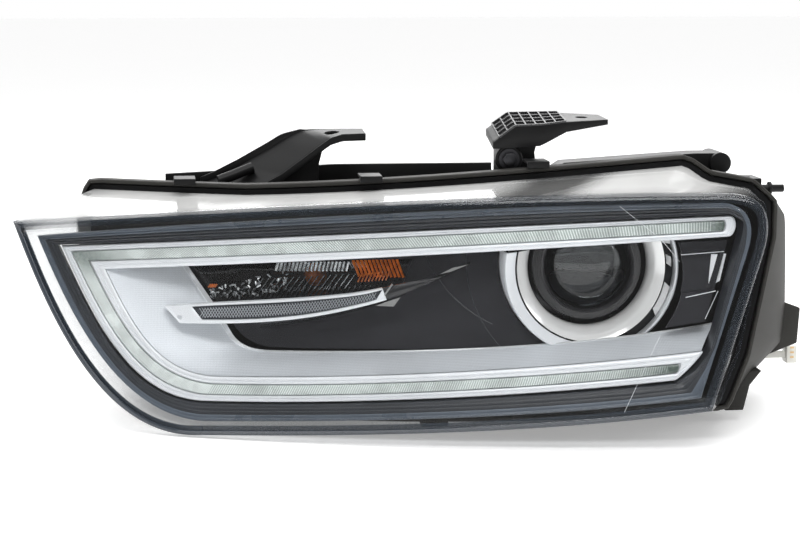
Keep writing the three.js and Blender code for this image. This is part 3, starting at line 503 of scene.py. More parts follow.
class Repeat:
    """The Geometry Nodes tree of a pattern. Each tree is made once."""

    trees: dict[Pattern, bpy.types.NodeTree] = {}
    inputs: dict[Pattern, dict[str, str]] = {
        Pattern.POINTS: {"Size": "Vector"},
        Pattern.RING: {"Count": "Int", "Radius": "Float", "Centre": "Vector", "Size": "Vector"},
        Pattern.ROW: {"Count": "Int", "Start": "Vector", "Step": "Vector", "Size": "Vector"},
    }

    def __init__(self, pattern: Pattern) -> None:
        """Makes a pattern's tree, which ends in Realize Instances and Set Material."""
        self.tree = bpy.data.node_groups.new(pattern.value, "GeometryNodeTree")
        face = self.tree.interface
        for label, kind in (("Geometry", "Geometry"), *self.inputs[pattern].items(), ("Finish", "Material")):
            face.new_socket(label, in_out="INPUT", socket_type=f"NodeSocket{kind}")
        face.new_socket("Geometry", in_out="OUTPUT", socket_type="NodeSocketGeometry")
        self.given = self.tree.nodes.new("NodeGroupInput").outputs
        layout = {Pattern.POINTS: self.on_points, Pattern.RING: self.in_ring, Pattern.ROW: self.in_row}
        cube = self.node("MeshCube", Size=self.given["Size"])
        real = self.node("RealizeInstances", Geometry=layout[pattern](cube))
        painted = self.node("SetMaterial", Geometry=real, Material=self.given["Finish"])
        self.tree.links.new(painted, self.tree.nodes.new("NodeGroupOutput").inputs[0])

    @classmethod
    def of(cls, pattern: Pattern) -> bpy.types.NodeTree:
        """A pattern's tree."""
        if pattern not in cls.trees:
            cls.trees[pattern] = cls(pattern).tree
        return cls.trees[pattern]

    def node(self, kind: str, settings: Optional[dict] = None, **sockets) -> bpy.types.NodeSocket:
        """The first output of a new node.

        Args:
            kind: the node's type, with or without its prefix.
            settings: its properties.
            sockets: values or links by socket name, with underscores for spaces.

        Returns:
            The output.
        """
        made = self.tree.nodes.new(kind if "Node" in kind else f"GeometryNode{kind}")
        for key, value in (settings or {}).items():
            setattr(made, key, value)
        for key, value in sockets.items():
            target = made.inputs[key.replace("_", " ")]
            if isinstance(value, bpy.types.NodeSocket):
                self.tree.links.new(value, target)
            else:
                target.default_value = value
        return made.outputs[0]

    def on_points(self, cube: bpy.types.NodeSocket) -> bpy.types.NodeSocket:
        """Blocks on points; "across" turns their length, "facing" their height, "stretch" scales length."""
        vector = {"data_type": "FLOAT_VECTOR"}
        across = self.node("InputNamedAttribute", vector, Name="across")
        facing = self.node("InputNamedAttribute", vector, Name="facing")
        stretch = self.node("InputNamedAttribute", {"data_type": "FLOAT"}, Name="stretch")
        first = self.node("FunctionNodeAlignRotationToVector", {"axis": "X"}, Vector=across)
        second = self.node("FunctionNodeAlignRotationToVector", {"axis": "Y", "pivot_axis": "X"},
                           Rotation=first, Vector=facing)
        scale = self.node("ShaderNodeCombineXYZ", X=stretch, Y=1.0, Z=1.0)
        spots = self.node("MeshToPoints", Mesh=self.given["Geometry"])
        return self.node("InstanceOnPoints", Points=spots, Instance=cube, Rotation=second, Scale=scale)

    def in_ring(self, cube: bpy.types.NodeSocket) -> bpy.types.NodeSocket:
        """Blocks in a ring about an axis parallel to Y."""
        ring = self.node("MeshCircle", Vertices=self.given["Count"], Radius=self.given["Radius"])
        turn = self.node("FunctionNodeAlignRotationToVector", {"axis": "X", "pivot_axis": "Z"},
                         Vector=self.node("InputPosition"))
        placed = self.node("InstanceOnPoints", Points=ring, Instance=cube, Rotation=turn)
        return self.node("Transform", Geometry=placed, Translation=self.given["Centre"],
                         Rotation=(math.pi / 2, 0.0, 0.0))

    def in_row(self, cube: bpy.types.NodeSocket) -> bpy.types.NodeSocket:
        """Blocks in a straight row."""
        line = self.node("MeshLine", Count=self.given["Count"], Start_Location=self.given["Start"],
                         Offset=self.given["Step"])
        return self.node("InstanceOnPoints", Points=line, Instance=cube)


def grown(name: str, pattern: Pattern, base: Optional[bpy.types.Mesh] = None, **inputs) -> bpy.types.Object:
    """Runs a repeat and keeps its result as a plain mesh.

    Args:
        name: the object's name.
        pattern: the repeat's pattern.
        base: the mesh that the tree starts from, if any.
        inputs: the tree's inputs by name, in metres where they are lengths.

    Returns:
        The object, with no modifier.
    """
    item = linked(name, base or bpy.data.meshes.new(name))
    step = item.modifiers.new("repeat", "NODES")
    step.node_group = Repeat.of(pattern)
    for socket in step.node_group.interface.items_tree:
        if socket.item_type == "SOCKET" and socket.in_out == "INPUT" and socket.name in inputs:
            step[socket.identifier] = inputs[socket.name]
    return settled(item, 20.0)


def metres(*lengths: float) -> tuple[float, ...]:
    """Lengths in metres from millimetres."""
    return tuple(length * MM for length in lengths)


def spot(x: float, y: float, z: float) -> tuple[float, ...]:
    """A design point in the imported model's frame, in metres."""
    return tuple((np.array([x, y, z]) * MM + SHIFT).tolist())


def blocks(name: str, places: Points, across: Points, facing: Points, stretch: Points,
           size: Sequence[float], finish: "Finish", **tags: Points) -> bpy.types.Object:
    """Blocks on given points, turned by two directions each.

    Args:
        name: the object's name.
        places: design points.
        across: the direction of each block's length.
        facing: the direction of each block's depth.
        stretch: each block's length, in millimetres.
        size: depth and height of a block in millimetres.
        finish: what it is made of.
        tags: further values for each block, by name.

    Returns:
        The object.
    """
    base = bpy.data.meshes.new(name)
    base.from_pydata((places * MM + SHIFT).tolist(), [], [])
    for tag, vectors in (("across", across), ("facing", facing)):
        rows = np.broadcast_to(vectors, places.shape).astype(float)
        base.attributes.new(tag, "FLOAT_VECTOR", "POINT").data.foreach_set("vector", rows.ravel())
    for tag, values in (("stretch", stretch), *tags.items()):
        numbers = np.broadcast_to(values, len(places)).astype(float)
        base.attributes.new(tag, "FLOAT", "POINT").data.foreach_set("value", numbers)
    return grown(name, Pattern.POINTS, base, Size=metres(1.0, *size), Finish=finish.material())


# ------------------------------------------------------------------------------------- shader graphs


class Sock:
    """A shader socket that takes part in Python arithmetic."""

    def __init__(self, graph: "Graph", socket: bpy.types.NodeSocket) -> None:
        """Wraps a socket of a graph."""
        self.graph = graph
        self.socket = socket

    def math(self, operation: str, *others: "Value") -> "Sock":
        """A Math node on this socket and others."""
        return self.graph.node("ShaderNodeMath", {"operation": operation}, (self, *others))

    def __add__(self, other: "Value") -> "Sock":
        """Sum."""
        return self.math("ADD", other)

    __radd__ = __add__

    def __mul__(self, other: "Value") -> "Sock":
        """Product."""
        return self.math("MULTIPLY", other)

    __rmul__ = __mul__

    def __sub__(self, other: "Value") -> "Sock":
        """Difference."""
        return self.math("SUBTRACT", other)

    def __rsub__(self, other: "Value") -> "Sock":
        """Difference from a number."""
        return self.graph.node("ShaderNodeMath", {"operation": "SUBTRACT"}, (other, self))

    def clamped(self) -> "Sock":
        """This value kept between 0 and 1."""
        return self.math("MINIMUM", 1.0).math("MAXIMUM", 0.0)

    def band(self, low: float, high: float) -> "Sock":
        """A smooth step that is 0 below one value and 1 above another."""
        settings = {"interpolation_type": "SMOOTHSTEP"}
        sockets = {"Value": self, "From Min": low, "From Max": high}
        return self.graph.node("ShaderNodeMapRange", settings, sockets)


Value = Union[float, Colour, Sock]


class Graph:
    """The node graph of one material."""

    def __init__(self, name: str) -> None:
        """Starts an empty material."""
        self.material = bpy.data.materials.new(name)
        self.material.use_nodes = True
        self.tree = self.material.node_tree
        self.tree.nodes.clear()

    def node(self, kind: str, settings: Optional[dict] = None,
             sockets: Union[dict, Sequence, None] = None, output: Union[int, str] = 0) -> Sock:
        """A node of any type.

        Args:
            kind: the node's type.
            settings: its properties; "stops" are a ramp's (position, colour) pairs.
            sockets: values or links by socket name, or in order.
            output: which output is wanted.

        Returns:
            That output.
        """
        made = self.tree.nodes.new(kind)
        for key, value in (settings or {}).items():
            if key == "stops":
                self.set_stops(made, value)
            else:
                setattr(made, key, value)
        pairs = sockets.items() if isinstance(sockets, dict) else enumerate(sockets or ())
        for key, value in pairs:
            target = made.inputs[key]
            if isinstance(value, Sock):
                self.tree.links.new(value.socket, target)
            elif isinstance(value, tuple) and len(value) == 3 and target.type == "RGBA":
                target.default_value = (*value, 1.0)
            else:
                target.default_value = value
        return Sock(self, made.outputs[output])

    @staticmethod
    def set_stops(ramp: bpy.types.Node, stops: Sequence[tuple[float, Colour]]) -> None:
        """Sets a colour ramp's stops."""
        while len(ramp.color_ramp.elements) < len(stops):
            ramp.color_ramp.elements.new(0.5)
        for element, (position, colour) in zip(ramp.color_ramp.elements, stops):
            element.position = position
            element.color = (*colour, 1.0)

    def place(self) -> Sock:
        """Object coordinates."""
        return self.node("ShaderNodeTexCoord", output="Object")

    def noise(self, per_metre: float, detail: float = 3.0, stretch: Colour = (1.0, 1.0, 1.0)) -> Sock:
        """Noise on Object coordinates, around 0.5."""
        spread = self.node("ShaderNodeMapping", None, {"Vector": self.place(), "Scale": stretch})
        sockets = {"Vector": spread, "Scale": per_metre, "Detail": detail}
        return self.node("ShaderNodeTexNoise", None, sockets)

    def tag(self, name: str) -> Sock:
        """A value stored on the mesh's points."""
        return self.node("ShaderNodeAttribute", {"attribute_name": name}, output="Fac")

    def mixed(self, share: Value, a: Value, b: Value) -> Sock:
        """Two colours mixed."""
        settings = {"data_type": "RGBA", "clamp_factor": True}
        return self.node("ShaderNodeMix", settings, {0: share, 6: a, 7: b}, output=2)

    def bump(self, height: Sock, distance: float) -> Sock:
        """A normal from a height; the distance is in millimetres."""
        sockets = {"Height": height, "Distance": distance * MM, "Strength": 1.0}
        return self.node("ShaderNodeBump", None, sockets)

    def surface(self, **sockets: Value) -> Sock:
        """A Principled shader, its sockets given by name with underscores for spaces."""
        named = {key.replace("_", " "): value for key, value in sockets.items()}
        return self.node("ShaderNodeBsdfPrincipled", None, named)

    def blended(self, share: Value, a: Sock, b: Sock) -> Sock:
        """Two shaders mixed."""
        return self.node("ShaderNodeMixShader", None, (share, a, b))

    def done(self, shader: Sock) -> bpy.types.Material:
        """Sends a shader to the output."""
        output = self.tree.nodes.new("ShaderNodeOutputMaterial")
        self.tree.links.new(shader.socket, output.inputs["Surface"])
        return self.material


NOISE_RANGE = (0.3, 0.7)  # where most values of a noise lie


def shade(colour: Colour, factor: float) -> Colour:
    """A colour made lighter or darker."""
    return tuple(min(1.0, part * factor) for part in colour)


# ------------------------------------------------------------------------------------- finishes


class Finish:
    """What a piece is made of. Each finish makes its material once."""

    made: dict[str, bpy.types.Material] = {}
    name: str

    def paint(self, graph: Graph) -> Sock:
        """Builds the shader."""
        raise NotImplementedError

    def material(self) -> bpy.types.Material:
        """The finish's material."""
        if self.name not in Finish.made:
            graph = Graph(self.name)
            Finish.made[self.name] = graph.done(self.paint(graph))
        return Finish.made[self.name]


@dataclass(frozen=True)
class Plastic(Finish):
    """Moulded plastic or rubber with fine grain, cloudy tone and uneven gloss."""

    name: str
    colour: Colour
    roughness: float = 0.5
    tone: float = 0.15
    grain: float = 0.7
    relief: float = 0.03
    specular: float = 0.5

    def paint(self, graph: Graph) -> Sock:
        """Builds the shader."""
        cloud = graph.noise(22.0, 4.0)
        streak = graph.noise(60.0, 2.0, (0.25, 0.25, 1.6))
        grain = graph.noise(1000.0 / self.grain, 2.0)
        speck = grain.band(0.62, 0.72)
        mood = (cloud * 0.7 + streak * 0.3).band(*NOISE_RANGE)
        base = graph.mixed(mood, shade(self.colour, 1 - self.tone), shade(self.colour, 1 + self.tone))
        base = graph.mixed(speck * 0.25, base, shade(self.colour, 1.9))
        return graph.surface(
            Base_Color=base, Roughness=(cloud * 0.16 + speck * 0.05 + (self.roughness - 0.09)),
            Normal=graph.bump(grain, self.relief), Specular_IOR_Level=self.specular)


@dataclass(frozen=True)
class Silver(Finish):
    """Silver-coloured lacquer with fine flake; an optional "lip" value on the mesh paints a highlight along
    edges.
    """

    name: str
    colour: Colour
    roughness: float = 0.38
    metallic: float = 0.45
    flake: float = 0.35
    knurl: float = 0.0
    # The colour of the painted highlight.
    lip: Colour = (0.9, 0.92, 0.94)

    def paint(self, graph: Graph) -> Sock:
        """Builds the shader; a knurl is a diamond pattern, its pitch in millimetres."""
        cloud = graph.noise(14.0, 3.0)
        flake = graph.noise(1000.0 / self.flake, 1.0)
        base = graph.mixed(cloud.band(*NOISE_RANGE), shade(self.colour, 0.95), shade(self.colour, 1.05))
        base = graph.mixed(flake.band(0.6, 0.75) * 0.3, base, shade(self.colour, 1.25))
        height = flake * 0.25
        # Painted highlight: where the "lip" value is high the colour goes near-white, more metallic and
        # glossier.
        edge = graph.tag("lip").clamped()
        if self.knurl:
            diamond = self.diamond(graph)
            # Painted shade in the knurl's grooves, left off the highlighted edge.
            groove_shade = (1 - diamond) * (1 - edge)
            base = graph.mixed(groove_shade * 0.2, base, shade(self.colour, 0.45))
            height = height + diamond * (1 - edge)
        base = graph.mixed(edge, base, self.lip)
        return graph.surface(
            Base_Color=base, Metallic=edge * 0.3 + self.metallic,
            Roughness=cloud * 0.08 + flake * 0.06 + (self.roughness - 0.07) - edge * 0.16,
            Normal=graph.bump(height, 0.12 if self.knurl else 0.02))

    def diamond(self, graph: Graph) -> Sock:
        """Crossed slanting ridges over the front view, between 0 and 1."""
        parts = graph.node("ShaderNodeSeparateXYZ", None, {"Vector": graph.place()})
        up = Sock(graph, parts.socket.node.outputs["Z"])
        turn = 2 * math.pi / (self.knurl * MM)
        one = (parts * (0.8 * turn) + up * (0.6 * turn)).math("SINE")
        two = (parts * (0.8 * turn) - up * (0.6 * turn)).math("SINE")
        return one * two * 0.5 + 0.5


@dataclass(frozen=True)
class Metal(Finish):
    """Bare or plated metal with faint unevenness."""

    name: str
    colour: Colour
    roughness: float = 0.1
    ripple: float = 0.01
    scale: float = 30.0
    dull: float = 0.06

    def paint(self, graph: Graph) -> Sock:
        """Builds the shader."""
        cloud = graph.noise(18.0, 4.0)
        fine = graph.noise(1000.0 / 0.5, 2.0)
        ripple = graph.noise(self.scale, 2.0)
        base = graph.mixed(cloud.band(*NOISE_RANGE), shade(self.colour, 0.92), self.colour)
        return graph.surface(
            Base_Color=base, Metallic=1.0,
            Roughness=cloud * self.dull + fine * (self.dull / 2) + self.roughness,
            Normal=graph.bump(ripple * 0.7 + fine * 0.02, self.ripple))


@dataclass(frozen=True)
class ClearShell(Finish):
    """Clear moulded polycarbonate: see-through face on, glossy at a glance; a value on the mesh paints a dark
    slate band at the lens edge, standing in for its dark refraction, and another paints a pale sheen on the
    top wall, standing in for reflected light.
    """

    name: str
    tint: Colour = (0.985, 0.988, 0.99)
    gloss: float = 0.5
    falloff: float = 4.0
    face_on: float = 0.018
    # Colour of the painted dark band at the lens edge, standing in for its dark refraction.
    dark_rim_paint: Colour = (0.03, 0.037, 0.047)
    # Colour of the painted pale sheen on the lens's top wall.
    sheen_colour: Colour = (0.8, 0.8, 0.79)

    def paint(self, graph: Graph) -> Sock:
        """Builds the shader."""
        ripple = graph.noise(9.0, 2.0)
        normal = graph.bump(ripple, 0.1)
        glance = graph.node("ShaderNodeLayerWeight", None, {"Normal": normal}, output="Facing")
        rim = glance.math("POWER", self.falloff) * self.gloss + self.face_on
        through = graph.node("ShaderNodeBsdfTransparent", None, {"Color": self.tint})
        gloss = graph.node("ShaderNodeBsdfGlossy", None,
                           {"Color": (1.0, 1.0, 1.0), "Roughness": 0.03, "Normal": normal})
        clear = graph.blended(rim, through, gloss)
        cloud = graph.noise(12.0, 3.0)
        # Painted dark slate for the lens edge, standing in for the dark refraction seen there.
        wall = graph.surface(Base_Color=graph.mixed(cloud, self.dark_rim_paint, shade(self.dark_rim_paint, 1.5)),
                             Roughness=0.12)
        # Painted pale sheen: near-white colour standing in for light reflected off the lens's top wall.
        haze = graph.surface(Base_Color=self.sheen_colour, Roughness=cloud * 0.1 + 0.1)
        with_dark_rim = graph.blended(graph.tag("edge").clamped(), clear, wall)
        return graph.blended((graph.tag("haze") * (0.75 + cloud * 0.5)).clamped(), with_dark_rim, haze)


@dataclass(frozen=True)
class Guide(Finish):
    """Frosted light guide; a value on the mesh paints a mottled shade over its ends and its corner."""

    name: str
    colour: Colour = (0.62, 0.68, 0.66)
    # Colour of the painted shade.
    shade_colour: Colour = (0.07, 0.095, 0.08)

    def paint(self, graph: Graph) -> Sock:
        """Builds the shader."""
        cloud = graph.noise(40.0, 3.0)
        mottle = graph.noise(420.0, 3.0)
        base = graph.mixed(cloud.band(0.35, 0.65), shade(self.colour, 0.88), shade(self.colour, 1.12))
        # Painted shade: the guide's ends and corner go towards a dark green-grey, mottled.
        depth = (graph.tag("dark") * (0.55 + mottle * 0.9)).clamped()
        base = graph.mixed(depth, base, self.shade_colour)
        return graph.surface(Base_Color=base, Roughness=cloud * 0.1 + 0.22, Coat_Weight=0.35,
                             Coat_Roughness=0.12, Normal=graph.bump(mottle, 0.04))


@dataclass(frozen=True)
class OpticGlass(Finish):
    """Ground optical glass."""

    name: str
    tint: Colour = (0.82, 0.86, 0.88)
    roughness: float = 0.01
    index: float = 1.52

    def paint(self, graph: Graph) -> Sock:
        """Builds the shader."""
        cloud = graph.noise(20.0, 2.0)
        base = graph.mixed(cloud, self.tint, shade(self.tint, 0.94))
        return graph.surface(Base_Color=base, Roughness=cloud * 0.02 + self.roughness, IOR=self.index,
                             Transmission_Weight=1.0)


@dataclass(frozen=True)
class TintedPrism(Finish):
    """Small clear or amber facets: partly see-through, bright where they face a light."""

    name: str
    colour: Colour
    opening: float = 0.35
    roughness: float = 0.12
    metallic: float = 0.5

    def paint(self, graph: Graph) -> Sock:
        """Builds the shader."""
        cloud = graph.noise(160.0, 2.0)
        base = graph.mixed(cloud.band(*NOISE_RANGE), shade(self.colour, 0.7), shade(self.colour, 1.2))
        solid = graph.surface(
            Base_Color=base, Metallic=self.metallic, Roughness=cloud * 0.1 + self.roughness,
            Coat_Weight=0.6, Coat_Roughness=0.05)
        through = graph.node("ShaderNodeBsdfTransparent", None, {"Color": (0.9, 0.9, 0.9)})
        return graph.blended(cloud * 0.3 + (0.85 - self.opening), through, solid)


@dataclass(frozen=True)
class CircuitBoard(Finish):
    """Green lacquered board with faint tracks."""

    name: str
    colour: Colour = (0.02, 0.11, 0.05)

    def paint(self, graph: Graph) -> Sock:
        """Builds the shader."""
        tracks = graph.node("ShaderNodeTexVoronoi", {"distance": "MANHATTAN"},
                            {"Vector": graph.place(), "Scale": 260.0}).band(0.3, 0.36)
        base = graph.mixed(tracks, shade(self.colour, 0.7), shade(self.colour, 1.6))
        return graph.surface(Base_Color=base, Roughness=tracks * 0.2 + 0.3, Normal=graph.bump(tracks, 0.03))


# A black a little lighter than the black plastic, for the lattice ribs.
LIGHTER_BLACK = Plastic("lighter_black_plastic", (0.045, 0.045, 0.047), specular=0.25, roughness=0.35, relief=0.02)
CLEAR = ClearShell("clear_polycarbonate")
GUIDE = Guide("frosted_guide", (0.4, 0.45, 0.43))
GUIDE_RIB = Guide("frosted_guide_ribs", (0.72, 0.77, 0.75), (0.17, 0.21, 0.19))
HOUSING = Plastic("housing_plastic", (0.03, 0.029, 0.0265), specular=0.2, roughness=0.62, grain=0.9,
                  relief=0.05)
BLACK = Plastic("black_plastic", (0.007, 0.007, 0.0073), specular=0.2, roughness=0.4, relief=0.04)
BLACK_GLOSS = Plastic("gloss_black", (0.016, 0.016, 0.018), roughness=0.22, relief=0.01, tone=0.1)
ANTHRACITE = Plastic("anthracite_plastic", (0.026, 0.029, 0.035), roughness=0.34, relief=0.012, tone=0.1)
# A lighter slate painted on the bezel's outer strip, standing in for its blue-grey reflection.
SLATE_SHEEN = Plastic("slate_painted_sheen", (0.085, 0.104, 0.13), roughness=0.3, relief=0.012, tone=0.12)
PANEL = Plastic("panel_plastic", (0.02, 0.02, 0.024), specular=0.3, roughness=0.42, relief=0.012, tone=0.08)
RUBBER = Plastic("seal_rubber", (0.006, 0.006, 0.0065), specular=0.14, roughness=0.6, relief=0.05)
SILVER = Silver("silver_lacquer", (0.77, 0.79, 0.815), roughness=0.3, metallic=0.12)
SATIN = Silver("satin_knurled", (0.66, 0.69, 0.725), roughness=0.36, metallic=0.2, knurl=1.9)
# Chrome painted near-white as a lacquer: the colour stands in for the bright reflections on the projector
# cone and facets.
PAINTED_BRIGHT_CHROME = Silver("chrome_painted_bright", (0.93, 0.93, 0.92), roughness=0.16, metallic=0.3, flake=0.6)
MARKER_LENS = Silver("ribbed_marker_lens", (0.06, 0.065, 0.075), roughness=0.25, metallic=0.5, flake=0.5)
MARKER_RIB = Silver("marker_lens_ribs", (0.36, 0.38, 0.4), roughness=0.2, metallic=0.4, flake=0.5)
CHROME = Metal("plated_chrome", (0.9, 0.9, 0.89), roughness=0.04, ripple=0.05, dull=0.04)
# Chrome painted near-black: the colour stands in for the dark reflections seen in the reflectors.
CHROME_PAINTED_DARK = Metal("chrome_painted_dark", (0.07, 0.07, 0.075), roughness=0.16, ripple=0.05)
STEEL = Metal("zinc_steel", (0.5, 0.51, 0.53), roughness=0.26, ripple=0.04, dull=0.14)
DARK_STEEL = Metal("blackened_steel", (0.06, 0.06, 0.065), roughness=0.3, ripple=0.04, dull=0.14)
ALLOY = Metal("cast_alloy", (0.33, 0.325, 0.31), roughness=0.4, ripple=0.12, scale=400.0, dull=0.16)
GLASS = OpticGlass("optic_glass")
AMBER = TintedPrism("amber_prism", (0.85, 0.2, 0.02), opening=0.15, metallic=0.1)
PRISM = TintedPrism("clear_prism", (0.8, 0.83, 0.86), opening=0.3, metallic=0.75)
DARK_PRISM = TintedPrism("smoked_prism", (0.16, 0.165, 0.18), opening=0.3, metallic=0.6)
WHITE = Plastic("natural_nylon", (0.72, 0.71, 0.66), roughness=0.36, tone=0.06, relief=0.01)
NYLON = Plastic("grey_nylon", (0.3, 0.3, 0.28), roughness=0.42, tone=0.1, relief=0.02)
BRASS = Metal("tinned_brass", (0.62, 0.44, 0.24), roughness=0.25, dull=0.1)
GREEN_WIRE = Plastic("green_wire_cover", (0.05, 0.3, 0.1), roughness=0.4, tone=0.08)
WHITE_WIRE = Plastic("white_wire_cover", (0.66, 0.66, 0.62), roughness=0.4, tone=0.05)
BOARD = CircuitBoard("circuit_board")


def put(item: bpy.types.Object, finish: Union[Finish, Sequence[Finish]], slot: str, *stands_for: str,
        body: str = LAMP) -> None:
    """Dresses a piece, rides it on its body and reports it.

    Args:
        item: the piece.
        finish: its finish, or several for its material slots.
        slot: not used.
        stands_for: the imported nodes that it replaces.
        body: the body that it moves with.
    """
    finishes = [finish] if isinstance(finish, Finish) else list(finish)
    item.data.materials.clear()
    for each in finishes:
        item.data.materials.append(each.material())
    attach(item, body)
    if stands_for:
        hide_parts(*stands_for)
    LOG.info("%s: %d faces, rides on %s", item.name, len(item.data.polygons), body)


def joined(name: str, parts: Sequence[bpy.types.Object], smooth: float = SHARP) -> bpy.types.Object:
    """Several objects made one, with their materials dropped and their faces turned outwards."""
    work = bmesh.new()
    for part in parts:
        work.from_mesh(part.data)
        bpy.data.objects.remove(part)
    mesh = bpy.data.meshes.new(name)
    work.to_mesh(mesh)
    work.free()
    mesh.polygons.foreach_set("material_index", [0] * len(mesh.polygons))
    item = linked(name, mesh)
    tidy_normals(item, smooth)
    return item


# ------------------------------------------------------------------------------------- lens and housing


LensRing = tuple[Points, Union[float, Points], Union[float, Points]]  # points, "edge" values for the painted dark band, and values for the painted pale sheen


@dataclass
class LensShell:
    """The clear lens: a swept face, a rounded edge and a wall back to the rim."""

    wall: float = 3.0
    round_off: float = 3.4
    round_steps: int = 5
    # How far in from the lens edge the painted dark band reaches.
    dark_band: float = 4.2
    flange: float = 0.9
    # Where the painted pale sheen lies along the wall, and how strong it is there.
    sheen_places: tuple = (-300.0, -60.0, 40.0, 80.0, 118.0, 146.0, 225.0, 260.0)
    sheen_levels: tuple = (1.0, 1.0, 0.8, 0.12, 0.12, 0.9, 0.9, 0.25)
    sheen_rise: float = 12.0  # the painted sheen is full at 1/12 of the wall
    wall_steps: tuple = (  # share of the way back, share of the flange, "edge" value for the painted dark band
        (0.03, 0, 1.0), (0.06, 0, 0.15), (0.25, 0, 0.0), (0.5, 0, 0.0), (0.75, 0, 0.0),
        (0.80, 0, 0.1), (0.81, 1, 0.5), (0.9, 1, 0.5), (1.0, 1, 0.8))
    inner_round: float = 0.4
    ridge: float = 0.8
    middle: tuple[float, float] = (-10.0, 100.0)
    mould_lines: tuple = (((166.7, 187), (197.9, 161.6), (211.1, 145)), ((193.6, 88.1), (164.7, 31)))

    def face_rings(self, thickness: float, corner: float, ridge: float) -> list[LensRing]:
        """Rings of the face from its middle to the end of the corner's rounding.

        Args:
            thickness: how far inside the outer skin the surface lies.
            corner: the corner's radius.
            ridge: the height of the moulded line near the edge.

        Returns:
            The rings.
        """
        # How strongly each side of the face gets the painted dark band.
        dark_rim_weight = side_weights(1.0, 0.85, 0.4, 0.42)
        border = inset(LENS_EDGE, thickness + corner)
        centre = np.array([self.middle])
        rings = [(SKIN.behind(centre, thickness), 0.0, 0.0)]
        for share in np.linspace(0.07, 0.95, 15):
            rings.append((SKIN.behind(lerp(centre, border, share), thickness), 0.0, 0.0))
        for distance, lift in ((9.0, 0), (8.7, ridge), (8.1, ridge), (7.8, 0)):
            rings.append((SKIN.behind(inset(border, distance - corner), thickness + lift), 0.0, 0.0))
        for distance, tag in ((self.dark_band + 0.7, 0.0), (self.dark_band, 1.0)):
            flat = inset(LENS_EDGE, thickness + distance)
            rings.append((SKIN.behind(flat, thickness), dark_rim_weight * tag, 0.0))
        skin = SKIN.depth(LENS_EDGE[:, 0], LENS_EDGE[:, 1])
        for angle in np.linspace(0, math.pi / 2, self.round_steps + 1):
            flat = inset(LENS_EDGE, thickness + corner * (1 - math.sin(angle)))
            depth = skin + thickness + corner * (1 - math.cos(angle))
            rings.append((at_depth(flat, depth), dark_rim_weight, 0.0))
        return rings

    def wall_rings(self, thickness: float, corner: float, flange: float) -> list[LensRing]:
        """Rings of the side wall from the corner back to the rim, with a flange of a given height."""
        # How strongly each side of the wall gets the painted dark band.
        dark_rim_weight = side_weights(1.0, 0.8, 0.3, 0.1)
        # How strongly each side of the wall gets the painted pale sheen.
        sheen_weight = side_weights(0.26, 0.05, 0.0, 0.6)
        sheen_weight = sheen_weight * np.interp(LENS_EDGE[:, 0], self.sheen_places, self.sheen_levels)
        front, rear = inset(LENS_EDGE, thickness), inset(RIM_EDGE, thickness)
        start = SKIN.depth(LENS_EDGE[:, 0], LENS_EDGE[:, 1]) + thickness + corner
        end = SKIN.rim(RIM_EDGE[:, 0], RIM_EDGE[:, 1])
        rings = []
        for share, lift, tag in self.wall_steps:
            ring = at_depth(inset(lerp(front, rear, share), flange * lift), lerp(start, end, share))
            rings.append((ring, dark_rim_weight * tag, sheen_weight * min(1.0, share * self.sheen_rise)))
        return rings

    def build(self) -> None:
        """Makes the lens."""
        outer = self.face_rings(0.0, self.round_off, 0.0)
        outer += self.wall_rings(0.0, self.round_off, self.flange)
        inner = self.face_rings(self.wall, self.inner_round, self.ridge)
        inner += self.wall_rings(self.wall, self.inner_round, 0.0)
        rings, edges, sheens = zip(*outer, *inner[::-1])
        shape = Shape().loft(rings, tags=edges)
        # Values for the painted pale sheen, one for each point.
        sheen_parts = [np.zeros(len(ring)) + haze for ring, haze in zip(rings, sheens)]
        shape.values["haze"] = [np.concatenate(sheen_parts)]
        put(shape.made("lens_shell", 50.0), CLEAR, "clear_lens", "front_lens")
        lines = Shape()
        for line in self.mould_lines:
            lines.tube(SKIN.behind(path(24, *line), self.wall / 2), 0.16, 6)
        put(lines.made("lens_mould_lines"), SILVER, "clear_lens")


def rim_ring(distance: float, back: float) -> Points:
    """The rim's loop moved inwards by one distance and backwards by another."""
    return at_depth(inset(RIM_EDGE, distance), SKIN.rim(RIM_EDGE[:, 0], RIM_EDGE[:, 1]) + back)


